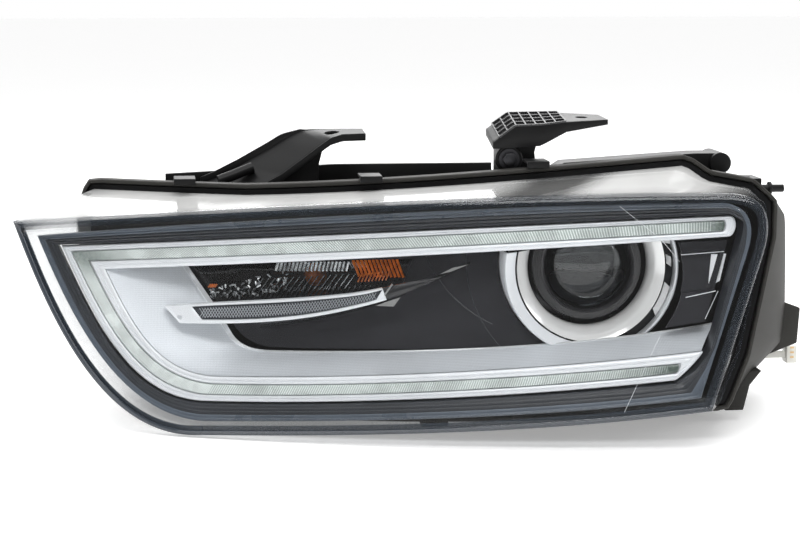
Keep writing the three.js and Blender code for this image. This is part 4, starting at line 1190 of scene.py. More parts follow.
@dataclass
class Housing:
    """The dark tub behind the lens, its seal, and the moulded details on its walls."""

    wall: float = 2.6
    growth: float = 0.51
    growth_power: float = 1.6
    lip_outside: float = 8.0
    lip_inside: float = 4.6
    lip_front: float = -2.0
    lip_floor: float = 6.0
    lip_rear: float = 14.0
    caps: tuple = ((150.0, 126.0, 48.0), (-62.0, 116.0, 30.0))
    adjusters: tuple = ((222.0, 135.0, 5.5), (214.0, 62.0, 5.5))
    back_middle: tuple[float, float] = (50.0, 95.0)
    plain: tuple = (0.0, 0.06, 0.12, 0.18, 0.25, 0.32, 0.4, 0.51)  # shares of the way back
    beads: tuple = (0.62, 0.9)
    bead_height: float = 1.3
    rear_round: tuple = ((0.985, 0.0), (0.996, 0.6), (1.0, 2.2))  # share and distance inside the wall
    feet: tuple = ((30.0, 142.0), (150.0, 182.0), (-170.0, 286.0), (270.0, 286.0))
    foot_half: float = 11.0
    foot_top: float = 17.0
    fin: tuple = ((318, 46), (344, 56), (346, 86), (330, 92))
    lug: tuple = ((270, 9), (286, 9), (291, 30), (301, 42), (286, 42), (272, 28))
    rib_out: float = 0.8
    rib_rows: tuple = (  # count, first (x, z), step, size
        (6, (-186, 62), (12.5, 0, 0), (2.0, 3.2, 62)),
        (4, (-108, 40), (14, 0, 0), (2.0, 3.2, 32)),
        (4, (240, 62), (18, 0, 0), (2.0, 3.2, 52)),
        (3, (-10, 152), (18, 0, 0), (2.0, 2.4, 34)),
        (2, (-150, 150), (0, 0, 14), (150, 2.4, 2.0)),
    )

    def body_ring(self, back: float, thickness: float) -> Points:
        """A ring of the tub: how far back it is, and how far inside the outer wall."""
        grown_out = 1.0 - max(0.0, 1.0 - back / self.growth) ** self.growth_power
        flat = lerp(inset(RIM_EDGE, thickness - 2), inset(BACK_EDGE, thickness), grown_out)
        start = SKIN.rim(RIM_EDGE[:, 0], RIM_EDGE[:, 1]) + self.lip_rear
        return at_depth(flat, lerp(start, BACK - max(thickness, 0.0), back))

    def shrunk(self, ring: Points, share: float) -> Points:
        """A back ring drawn in towards the middle of the back wall."""
        flat = lerp(np.array(self.back_middle), ring[:, ::2], share)
        return at_depth(flat, ring[:, 1])

    def tub(self) -> bpy.types.Object:
        """The shell with its beads and its bores."""
        steps = [(share, 0.0) for share in self.plain]
        for bead in self.beads:
            steps += [(bead, 0.0), (bead + 0.004, -self.bead_height), (bead + 0.022, -self.bead_height),
                      (bead + 0.026, 0.0)]
        outer = [self.body_ring(*step) for step in (*steps, *self.rear_round)]
        outer[-1][:, 1] = BACK
        inner = [self.body_ring(step, self.wall) for step in (*self.plain, 1.0)]
        lip_out, lip_in, lip, soft = -self.lip_outside, -self.lip_inside, self.lip_front, 0.8
        front = [rim_ring(*place) for place in (
            (lip_out, self.lip_rear - 2), (lip_out, lip + 1), (lip_out + soft, lip), (lip_in - soft, lip),
            (lip_in, lip + 1), (lip_in, self.lip_floor), (1, self.lip_floor))]
        back_middle = at_depth(np.array([self.back_middle]), BACK)
        rings = [back_middle, self.shrunk(outer[-1], 0.5), *outer[::-1], *front, *inner,
                 self.shrunk(inner[-1], 0.5), back_middle - (0, self.wall, 0)]
        shell = Shape().loft(rings).made("housing_tub", 40.0)
        near, far = BACK - 12, BACK + 12
        bores = [Shape().turned(((0, near), (r, near), (r, far), (0, far)), x, z, 72)
                 for x, z, r in (*self.caps, *self.adjusters)]
        return carved(shell, *bores)

    def pads(self) -> bpy.types.Object:
        """The pads that the lamp rests on, the side fin and the lower lug."""
        shape, half = Shape(), self.foot_half
        for x, y in self.feet:
            shape.box((x - half, y - half, 0), (x + half, y + half, self.foot_top))
        shape.prism(self.fin, 176, 181).prism(self.lug, 128, 160)
        return bevelled(shape.made("housing_pads"), 1.2, 3)

    def collars(self) -> list[bpy.types.Object]:
        """Raised collars round the bores in the back wall."""
        front, rear = BACK - 1, BACK + 0.7
        made = []
        for x, z, r in self.adjusters:
            profile = ((r, front), (r + 9.5, front), (r + 9.2, rear), (r, rear))
            made.append(Shape().turned(profile, x, z, 64).made("collar"))
        return made

    def back_ribs(self) -> list[bpy.types.Object]:
        """Stiffening ribs on the back wall."""
        return [grown("rib", Pattern.ROW, Count=count, Start=spot(x, BACK + self.rib_out, z),
                      Step=metres(*step), Size=metres(*size)) for count, (x, z), step, size in self.rib_rows]

    def build(self) -> None:
        """Makes the housing and the seal."""
        parts = [self.tub(), self.pads(), *self.collars(), *self.back_ribs()]
        tub = joined("housing_shell", parts, 38.0)
        put(tub, HOUSING, "housing_plastic", "rear_housing")
        outside, inside = -self.lip_inside + 1.2, 4.0
        seal = Shape().loft([rim_ring(outside, 1.2), rim_ring(outside, 4.8), rim_ring(inside, 4.8),
                             rim_ring(inside - 1.5, 2.4), rim_ring(inside, 1.2)], wrapped=True)
        put(seal.made("lens_seal"), RUBBER, "rubber", "lens_gasket")


# ------------------------------------------------------------------------------------- bezel


@dataclass
class Bezel:
    """The anthracite frame round the running light, with ledges along its top."""

    edge_depth: float = 12.0
    skirt: float = 6.0
    sleeve: float = 22.0
    wall: float = 2.5
    fall: float = 4.0
    ledges: tuple = ((0.16, 0.9), (0.36, 1.0), (0.58, 1.1), (0.78, 0.9))
    # How far across the bezel the painted reflection strip reaches.
    sheen_share: float = 0.4

    def build(self) -> None:
        """Makes the bezel; its outer strip is painted a lighter slate, standing in for the blue-grey
        reflection seen along it, and the rest is anthracite.
        """
        top_heavy = side_weights(0.35, 0.3, 0.3, 1.0)
        rings = [SKIN.behind(BEZEL_EDGE, self.edge_depth + self.skirt),
                 SKIN.behind(BEZEL_EDGE, self.edge_depth + 1.0)]
        strip_end = 0
        for share, lift in ((0.03, 0.0), *self.ledge_rows(), (0.965, 0.0)):
            base = self.edge_depth + self.fall * share
            rings.append(SKIN.behind(lerp(BEZEL_EDGE, OPENING, share), base + lift * top_heavy))
            if share < self.sheen_share:
                strip_end = len(rings)
        rings += [
            SKIN.behind(OPENING, self.edge_depth + self.fall + 0.9),
            SKIN.behind(OPENING, self.edge_depth + self.sleeve),
            SKIN.behind(inset(OPENING, -self.wall), self.edge_depth + self.sleeve),
            SKIN.behind(inset(OPENING, -self.wall), self.edge_depth + self.fall + self.wall),
            SKIN.behind(inset(BEZEL_EDGE, self.wall), self.edge_depth + self.wall),
            SKIN.behind(inset(BEZEL_EDGE, self.wall), self.edge_depth + self.skirt),
        ]
        bezel = Shape().loft(rings, wrapped=True).made("bezel_frame", 24.0)
        put(bezel, (ANTHRACITE, SLATE_SHEEN), "anthracite_plastic", "outer_bezel")
        count = len(BEZEL_EDGE)
        indices = np.zeros(len(bezel.data.polygons), int)
        indices[: count * (strip_end - 1)] = 1
        bezel.data.polygons.foreach_set("material_index", indices)

    def ledge_rows(self) -> Iterable[tuple[float, float]]:
        """Share of the width and step in depth of each ledge: flat, then a short drop."""
        for share, drop in self.ledges:
            yield share - 0.05, -drop * 0.5
            yield share, -drop * 0.5
            yield share + 0.03, drop * 0.7


# ------------------------------------------------------------------------------------- running light


ARM_SPACES = (120, 70, 100)


def u_row(upper_end: Sequence, upper: Sequence, corner: Sequence, leg: Sequence, bend: Sequence,
          lower: Sequence, lower_end: Sequence) -> Points:
    """Points along the U: the upper arm leftwards, down the leg and back along the lower arm."""
    return np.vstack([
        path(ARM_SPACES[0], upper_end, (*upper, *corner), end=False),
        path(ARM_SPACES[1], corner, (*leg, *bend), end=False),
        path(ARM_SPACES[2], bend, (*lower, *lower_end)),
    ])


FRAME_OUTER = u_row((256, 178), (110, 171.5, -120, 155.5), (-272, 143), (-246, 88, -220, 26.5),
                    (-160, 25.5), (-60, 27.5, 90, 38.5), (208, 52))
FRAME_INNER = u_row((254, 162), (110, 152, -80, 138), (-236, 126), (-214, 80, -194, 46),
                    (-150, 45), (-60, 47, 90, 57), (230, 74))
GUIDE_OUTER = u_row((250, 174.7), (108, 167, -120, 151), (-264, 139), (-238, 86, -212, 32),
                    (-155, 31), (-60, 33, 90, 44), (209, 57.6))
GUIDE_INNER = u_row((249, 166), (108, 158, -110, 142), (-249, 132), (-224, 82, -202, 41),
                    (-150, 39.5), (-60, 41, 90, 52), (211, 64.7))


END_STEPS = 11  # points on each round end of the U


def closed_u(outer: Points, inner: Points, upper_bulge: float, lower_bulge: float) -> Points:
    """A loop round the U: its outer row, the lower end, its inner row backwards and the upper end.

    Args:
        outer: the outer row, from the upper end to the lower end.
        inner: the inner row.
        upper_bulge: how far the upper end stands out, in millimetres.
        lower_bulge: the same for the lower end.

    Returns:
        Rows of (x, z).
    """
    def end(a: Points, b: Points, along: Points, bulge: float) -> Points:
        turn = np.linspace(0, math.pi, END_STEPS + 2)[1:-1, None]
        middle = (a + b) / 2
        out = along / np.linalg.norm(along)
        return middle + (a - middle) * np.cos(turn) + out * bulge * np.sin(turn)

    lower = end(outer[-1], inner[-1], outer[-1] - outer[-2], lower_bulge)
    upper = end(inner[0], outer[0], outer[0] - outer[1], upper_bulge)
    return np.vstack([outer, lower, inner[::-1], upper])


def ladder(shape: Shape, start: int, row: int, steps: int = END_STEPS) -> None:
    """Faces across a long loop.

    Args:
        shape: the shape that the loop is in.
        start: the loop's first index.
        row: points along each side.
        steps: points on each round end; none for a loop with straight ends.
    """
    total = 2 * row + 2 * steps
    for k in range(row - 1):
        other = row + steps + (row - 1 - k)
        shape.faces.append((start + k, start + k + 1, start + other - 1, start + other))
    if steps:
        shape.faces.append(tuple(start + row - 1 + k for k in range(steps + 2)))
        shape.faces.append(tuple(start + (2 * row + steps - 1 + k) % total for k in range(steps + 2)))


@dataclass
class RunningLight:
    """The silver U with its raised lips, the frosted guide in its groove and the guide's fine ribs."""

    floor: float = 21.1
    back: float = 25.0
    lip: float = 18.4
    guide_front: float = 18.3
    guide_back: float = 20.7
    upper_bulge: float = 5.0
    lower_bulge: float = 2.5
    rib_count: int = 570
    section: tuple = ((0.0, 1.2), (0.07, 0.45), (0.17, 0.05), (0.4, 0.0), (0.47, 0.75), (0.55, 0.8),
                      (0.62, 0.2), (0.84, 0.3), (0.93, 0.75))

    def frame(self) -> None:
        """The silver frame."""
        outer = closed_u(FRAME_OUTER, FRAME_INNER, self.upper_bulge, self.lower_bulge)
        inner = closed_u(GUIDE_OUTER, GUIDE_INNER, 2.4, 1.6)
        rings = [SKIN.behind(outer, self.back)]
        for share, drop in self.section:
            rings.append(SKIN.behind(lerp(outer, inner, share), self.lip + drop))
        rings.append(SKIN.behind(lerp(outer, inner, 0.96), self.floor))
        shape = Shape().loft(rings)
        row = len(FRAME_OUTER)
        ladder(shape, 0, row)
        ladder(shape, len(outer) * (len(rings) - 1), row)
        put(shape.made("running_light_frame", 40.0), SILVER, "silver_plastic", "drl_frame")

    def guide(self) -> None:
        """The frosted guide, crowned across its width, and its ribs."""
        middle = (GUIDE_OUTER + GUIDE_INNER) / 2
        half = (GUIDE_OUTER - GUIDE_INNER) / 2
        reach = np.arange(len(middle)) / (len(middle) - 1)
        corner = ARM_SPACES[0] / sum(ARM_SPACES)
        # Painted shade, strongest at the guide's two ends and at its corner.
        dark = np.exp(-reach / 0.012) + np.exp(-(1 - reach) / 0.022) * 1.2
        dark += 0.75 * np.exp(-(((reach - corner) / 0.022) ** 2))
        rings, shade_rows = [], []
        for share, depth in ((0.9, self.guide_back), (0.9, self.guide_front + 0.9),
                             (0.8, self.guide_front + 0.45), (0.5, self.guide_front + 0.1)):
            rings.append(SKIN.behind(closed_u(middle + half * share, middle - half * share, 2 * share,
                                              1.2 * share), depth))
            shade_rows.append(np.concatenate([dark, np.full(END_STEPS, dark[-1]), dark[::-1],
                                              np.full(END_STEPS, dark[0])]))
        shape = Shape().loft(rings, tags=shade_rows, tag="dark")
        ladder(shape, 0, len(middle))
        ladder(shape, len(rings[0]) * (len(rings) - 1), len(middle))
        put(shape.made("running_light_guide", 30.0), GUIDE, "light_guide", "drl_light_guide")
        self.ribs(middle, half, dark)

    def ribs(self, middle: Points, half: Points, dark: Points) -> None:
        """Fine ribs across the guide."""
        wanted = np.linspace(0.008, 0.992, self.rib_count) * (len(middle) - 1)
        centre, reach = sampled(middle, wanted), sampled(half, wanted)
        across = SKIN.behind(centre + reach, 0.0) - SKIN.behind(centre - reach, 0.0)
        lengths = np.linalg.norm(across, axis=1) * 0.84
        # The ribs carry the same painted shade.
        ribs = blocks("guide_ribs", SKIN.behind(centre, self.guide_front - 0.05), across,
                      np.array([0.0, -1.0, 0.25]), lengths, (0.9, 0.85), GUIDE_RIB,
                      dark=np.interp(wanted, np.arange(len(middle)), dark))
        put(ribs, GUIDE_RIB, "light_guide")

    def build(self) -> None:
        """Makes the frame, and the guide with its ribs."""
        self.frame()
        self.guide()


# ------------------------------------------------------------------------------------- inner trim


def grid_between(a: Points, b: Points, columns: int) -> Points:
    """A grid of front view points between two matching rows."""
    share = np.linspace(0, 1, columns + 1)[None, :, None]
    return a[:, None, :] + (b - a)[:, None, :] * share


def sheet(flat: Points, depths: Points) -> Points:
    """A grid of front view points set behind the skin by distances, one for all or one for each."""
    rows, columns = flat.shape[:2]
    distance = np.broadcast_to(depths, (rows, columns)).ravel()
    return SKIN.behind(flat.reshape(-1, 2), distance).reshape(rows, columns, 3)


def plate_of(flat: Points, depths: Union[float, Points], thickness: float) -> Shape:
    """A plate that follows the skin: its grid, the distance of its front face and its thickness."""
    return Shape().slab(sheet(flat, depths), sheet(flat, depths + thickness))


def ring_space() -> Shape:
    """A round tool that clears the projector's ring."""
    return Shape().turned(((0, 20), (71, 20), (71, 240), (0, 240)), *AXIS, 96)


@dataclass
class InnerTrim:
    """The satin trim inside the U, the dark panel behind it and the panel beside the projector."""

    wall: float = 2.2
    trim_front: float = 20.6
    trim_back: float = 47.0
    panel: float = 50.0
    side: float = 32.0
    columns: int = 26

    def satin(self) -> None:
        """The knurled satin trim, hollowed a little, with its inner edge brought forward a little and painted
        with a highlight.
        """
        outer = np.vstack([path(80, (-235.5, 125.7), (-213.6, 80, -193.6, 46.4, -150, 45.5), end=False),
                           path(120, (-150, 45.5), (-60, 47.5, 90, 57.5, 229.6, 74.5))])
        inner = np.vstack([path(80, (-170, 130), (-146, 96), (-134, 76), (-128, 66, -118, 63, -104, 63),
                                end=False),
                           path(120, (-104, 63), (0, 65, 140, 72, 246, 92))])
        flat = grid_between(outer, inner, self.columns)
        share = np.linspace(0, 1, self.columns + 1)
        fall = self.trim_front + (self.trim_back - self.trim_front) * share**0.85
        fall[-2] -= 0.5
        fall[-1] -= 0.9
        # The last columns carry the painted highlight.
        highlight_rows = np.tile(np.where(share > 0.955, 1.0, 0.0), (len(outer), 1))
        shape = Shape().slab(sheet(flat, fall), sheet(flat, fall + self.wall), highlight_rows)
        put(shape.made("satin_trim", 40.0), SATIN, "satin_silver", "silver_trim")

    def dark_panel(self) -> None:
        """The dark panel with the turn signal's window, and two faint arcs on it."""
        top = path(90, (160, 152), (60, 146, -60, 136, -162, 129))
        bottom = path(90, (160, 75.5), (60, 68, -60, 65, -104, 65), (-124, 68, -130, 78, -136, 88))
        plate = plate_of(grid_between(top, bottom, 24), self.panel, self.wall).made("dark_panel")
        carved(plate, Shape().prism(SIGNAL_EDGE, 100, 260), ring_space())
        put(plate, PANEL, "anthracite_plastic", "dark_inner_panel")
        arcs = Shape()
        for x, z, radius, span in ((150, 135, 96, (172, 226)), (112, 176, 96, (196, 246))):
            arcs.tube(SKIN.behind(circle(x, z, radius, arc(span, 40)), self.panel - 0.05), 0.35, 8)
        put(arcs.made("panel_arcs"), ANTHRACITE, "anthracite_plastic")

    def side_panel(self) -> None:
        """The dark panel beside the projector with its recess, bright edges and pale facet."""
        drops = ((0.0, 0), (0.12, 0), (0.135, 3.2), (0.36, 3.4), (0.6, 3.2), (0.615, 0), (0.8, 0.2), (1.0, 0))
        share, drop = np.array(drops).T
        top, bottom = path(40, (256, 158), (172, 153)), path(40, (236, 95), (172, 85))
        flat = top[:, None, :] + (bottom - top)[:, None, :] * share[None, :, None]
        inside = np.clip((np.arange(41) - 1.5) / 0.8, 0, 1)[:, None]
        depths = self.side + drop[None, :] * inside
        plate = plate_of(flat, depths, self.wall).made("side_panel", 25.0)
        carved(plate, ring_space())
        put(plate, PANEL, "anthracite_plastic", "side_trim_panel")
        facet = grid_between(path(6, (255, 147), (243.5, 146.5)), path(6, (249, 126), (240, 121.5)), 6)
        pale = plate_of(facet, self.side + 1.2 + np.linspace(0, 1.6, 7)[:, None], 1.4)
        put(bevelled(pale.made("side_facet"), 0.3), SILVER, "silver_plastic")
        edges = Shape()
        for line in (((219, 146.3), (253, 149)), ((221.5, 113.5), (245, 118.5)), ((247, 118.5), (236, 97))):
            edges.tube(SKIN.behind(path(12, *line), self.side - 0.15), 0.32, 8)
        put(edges.made("side_panel_edges"), SILVER, "silver_plastic")

    def build(self) -> None:
        """Makes the trim pieces."""
        self.satin()
        self.dark_panel()
        self.side_panel()


# ------------------------------------------------------------------------------------- marker strip


@dataclass
class MarkerStrip:
    """The silver blade under the turn signal: its frame, its ribbed lens, and the dark wing it ends in."""

    lip: float = 23.0
    floor: float = 26.6
    back: float = 29.4
    lens_front: float = 23.6
    rib_count: int = 62
    end_x: float = -14.0
    ledge_x: float = -112.0
    section: tuple = ((0.0, 0.9), (0.12, 0.2), (0.3, 0.0), (0.8, 0.0), (0.95, 0.4), (1.0, 1.0))

    def rows(self) -> tuple[Points, Points, Points]:
        """Top and bottom rows of the whole blade, and how many points belong to the silver part."""
        top = path(150, (-188, 98), (-150, 103, -90, 106, -40, 113), (-20, 116, 0, 122, 31, 129))
        bottom = path(150, (-176, 85), (-120, 86, -80, 91, -48, 99), (-20, 106, 0, 112, 30, 126))
        return top, bottom, int(np.argmax(top[:, 0] > self.end_x))

    def frame_and_lens(self) -> None:
        """The silver frame round its lens, and the lens with slanting ribs."""
        top, bottom, split = self.rows()
        top, bottom = top[:split], bottom[:split]
        outer = self.outline(top, bottom)
        lens_top = path(split - 1, (-166, 98.5), (-130, 102.4, -90, 104, -42, 110.8),
                        (-30, 112.7, -24, 114, -15, 117))
        lens_bottom = path(split - 1, (-158, 88.5), (-112, 90, -80, 93.6, -48, 101.6),
                           (-38, 104, -28, 106.4, -20, 109))
        inner = self.outline(lens_top, lens_bottom)
        rings = [SKIN.behind(outer, self.back)]
        rings += [SKIN.behind(lerp(outer, inner, share), self.lip + drop) for share, drop in self.section]
        rings.append(SKIN.behind(inner, self.floor))
        shape = Shape().loft(rings)
        ladder(shape, 0, split, 0)
        ladder(shape, len(outer) * (len(rings) - 1), split, 0)
        blade = carved(shape.made("marker_frame", 38.0), self.notch())
        put(blade, SILVER, "satin_silver", "marker_strip_frame")
        small = self.outline(lerp(lens_top, lens_bottom, 0.04), lerp(lens_bottom, lens_top, 0.04))
        rear, front = self.floor - 0.3, self.lens_front + 0.9
        glass = Shape().loft([SKIN.behind(small, rear), SKIN.behind(small, front)])
        ladder(glass, 0, split, 0)
        ladder(glass, len(small), split, 0)
        put(glass.made("marker_lens", 30.0), MARKER_LENS, "ribbed_lens", "marker_strip_lens")
        self.ribs(lens_top, lens_bottom)

    @staticmethod
    def outline(top: Points, bottom: Points) -> Points:
        """A loop along a top row and back along a bottom row."""
        return np.vstack([top, bottom[::-1]])

    def notch(self) -> Shape:
        """The small round notch at the blade's outer end."""
        flat = circle(-176.0, 90.0, 1.9, full_turn(24))
        return Shape().capped([SKIN.behind(flat, self.lip - 3), SKIN.behind(flat, self.lip + 2.2)])

    def ribs(self, top: Points, bottom: Points) -> None:
        """Two crossed rows of slanting ribs on the lens."""
        wanted = np.linspace(0.03, 0.97, self.rib_count) * (len(top) - 1)
        high, low = sampled(top, wanted), sampled(bottom, wanted)
        middle = (high + low) / 2
        for name, lean in (("marker_ribs_rising", 0.63), ("marker_ribs_falling", -0.63)):
            reach = (high - low) * 0.36
            reach[:, 0] = reach[:, 1] * lean
            across = SKIN.behind(middle + reach, 0) - SKIN.behind(middle - reach, 0)
            rib = blocks(name, SKIN.behind(middle, self.lens_front + 0.75), across, np.array([0, -1.0, 0.2]),
                         np.linalg.norm(across, axis=1), (0.5, 0.5), MARKER_RIB)
            put(rib, MARKER_RIB, "ribbed_lens")

    def wing(self) -> None:
        """The dark wing that carries the blade's line on, its bright slivers, and the ledge below."""
        top, bottom, split = self.rows()
        tip_top = np.vstack([top[split - 1:], path(20, (31, 129), (54, 139.5))[1:]])
        tip_bottom = np.vstack([bottom[split - 1:], path(20, (30, 126), (55, 138.5))[1:]])
        flat = grid_between(tip_top, tip_bottom, 8)
        crown = self.lip + 1.2 + 2.0 * np.abs(np.linspace(-1, 1, 9)) ** 1.5
        put(plate_of(flat, crown, 2.4).made("marker_wing", 40.0), BLACK_GLOSS, "anthracite_plastic")
        under = bottom[int(np.argmax(bottom[:, 0] > self.ledge_x)): split + 12]
        fall = np.array([0.0, -8.5]) * np.linspace(0.8, 0.45, len(under))[:, None]
        ledge = grid_between(under + (0, 0.5), under + fall, 8)
        slope = self.back - 1.5 + 11 * np.linspace(0, 1, 9) ** 1.4
        put(plate_of(ledge, slope, 2.2).made("marker_ledge", 40.0), BLACK_GLOSS, "anthracite_plastic")
        slivers = Shape()
        for outline, depth in ((((-17, 109.5), (-16, 108.6), (-6.5, 121.2), (-7.6, 122)), self.lip + 0.6),
                               (((30, 130.2), (38, 132), (53, 138.2), (40, 135.2)), self.lip + 0.9),
                               (((-20, 103.4), (-6, 103.2), (-0.5, 110.6), (-13, 106.2)), self.back + 0.6)):
            front = SKIN.behind(np.array(outline, float), depth)
            slivers.capped([front, front + (0, 1.6, 0)])
        put(slivers.made("marker_slivers", 30.0), CHROME, "chromed")

    def build(self) -> None:
        """Makes the blade and its wing."""
        self.frame_and_lens()
        self.wing()


# ------------------------------------------------------------------------------------- turn signal


@dataclass
class TurnSignal:
    """The turn signal's faceted lens over its reflector of chrome painted dark, with amber facets by the
    bulb.
    """

    depth: float = 53.0
    seed: int = 7
    sparkle_count: int = 70
    middle: tuple[float, float] = (-70.0, 118.0)
    rows: tuple = (  # name, finish, count, first and last middle, length, lean, width, depth
        ("signal_upper_prisms", PRISM, 19, (-96, 129.0), (-40, 130.6), 8.0, 0.28, 1.7, 0.0),
        ("signal_fine_prisms", PRISM, 9, (-37, 131.5), (-24, 132.5), 5.5, -0.5, 0.7, 0.0),
        ("signal_cross_ribs", PRISM, 16, (-112, 113), (-38, 119), 15.0, 0.75, 0.55, 0.0),
        ("signal_lower_ribs", DARK_PRISM, 30, (-140, 106), (-24, 112), 10.0, 0.6, 0.9, 0.0),
        ("signal_amber_prisms", AMBER, 12, (-33, 130), (2, 130), 16.0, -0.35, 1.5, 0.0),
        ("signal_amber_ribs", AMBER, 9, (-30, 122), (-8, 124), 8.0, 0.5, 0.9, -0.4),
        ("signal_amber_spot", AMBER, 4, (-151, 111.6), (-146, 111.9), 3.4, 0.8, 1.1, -0.5),
    )

    def lens(self) -> None:
        """The clear plate of the turn signal."""
        centre = np.array([self.middle])
        corners = np.array(SIGNAL_EDGE, float)
        share = np.arange(8)[None, :, None] / 8
        rim = lerp(corners[:, None], np.roll(corners, -1, axis=0)[:, None], share).reshape(-1, 2)
        front, rear = self.depth + 1.4, self.depth + 2.5
        rings = [SKIN.behind(centre, front), *[SKIN.behind(lerp(centre, rim, part), depth)
                 for part, depth in ((0.5, front), (0.96, front), (0.96, rear), (0.5, rear))],
                 SKIN.behind(centre, rear)]
        put(Shape().loft(rings).made("signal_plate"), CLEAR, "ribbed_lens", "turn_signal_lens")

    def row(self, name: str, finish: Finish, count: int, start: Sequence[float], end: Sequence[float],
            length: float, lean: float, thick: float, depth: float) -> None:
        """A row of slanting prisms.

        Args:
            name: the piece's name.
            finish: its finish.
            count: the number of prisms.
            start: the front view point of the first one's middle.
            end: the point of the last one's middle.
            length: a prism's length.
            lean: sideways run for each unit of height.
            thick: a prism's width.
            depth: how far behind the plate's front it lies.
        """
        share = np.linspace(0, 1, count)[:, None]
        middle = lerp(np.array([start]), np.array([end]), share)
        along = np.array([lean, 1.0]) / math.hypot(lean, 1.0) * length / 2
        across = SKIN.behind(middle + along, 0) - SKIN.behind(middle - along, 0)
        piece = blocks(name, SKIN.behind(middle, self.depth + depth), across, np.array([0.55, -1.0, 0.1]),
                       np.full(count, length), (thick, thick), finish)
        put(piece, finish, "amber_glass" if finish is AMBER else "ribbed_lens")

    def sparkles(self) -> None:
        """Small facets at odd angles that glint."""
        draw = np.random.default_rng(self.seed)
        share = draw.random((self.sparkle_count, 2))
        along, up = share.T
        middle = np.column_stack([-150 + 62 * along, 101 + 20 * up * (0.4 + 0.6 * along)])
        middle[:, 1] += (middle[:, 0] + 150) * 0.1
        across = draw.normal(size=(self.sparkle_count, 3)) * (1.0, 0.3, 1.0)
        facing = np.array([0.0, -1.0, 0.2]) + draw.normal(size=(self.sparkle_count, 3)) * 0.5
        lengths = 1.6 + 2.6 * draw.random(self.sparkle_count)
        piece = blocks("signal_sparkles", SKIN.behind(middle, self.depth), across, facing, lengths,
                       (0.9, 1.1), PRISM)
        put(piece, PRISM, "ribbed_lens")

    def build(self) -> None:
        """Makes the plate, the rows of prisms and the glints."""
        self.lens()
        for row in self.rows:
            self.row(*row)
        self.sparkles()


# ------------------------------------------------------------------------------------- projector


Plane = tuple[Sequence[float], Sequence[float]]


def sliced(item: bpy.types.Object, planes: Sequence[Plane]) -> bpy.types.Object:
    """An object cut by planes, its outer side removed and the cuts closed.

    Args:
        item: the object.
        planes: pairs of a design point on the plane and its outward direction.

    Returns:
        The object.
    """
    work = bmesh.new()
    work.from_mesh(item.data)
    for point, out in planes:
        everything = [*work.verts, *work.edges, *work.faces]
        bmesh.ops.bisect_plane(work, geom=everything, plane_co=spot(*point), plane_no=out, clear_outer=True)
        rims = [edge for edge in work.edges if edge.is_boundary]
        bmesh.ops.holes_fill(work, edges=rims, sides=0)
    bmesh.ops.recalc_face_normals(work, faces=work.faces)
    work.to_mesh(item.data)
    work.free()
    item.data.set_sharp_from_angle(angle=math.radians(SHARP))
    return item


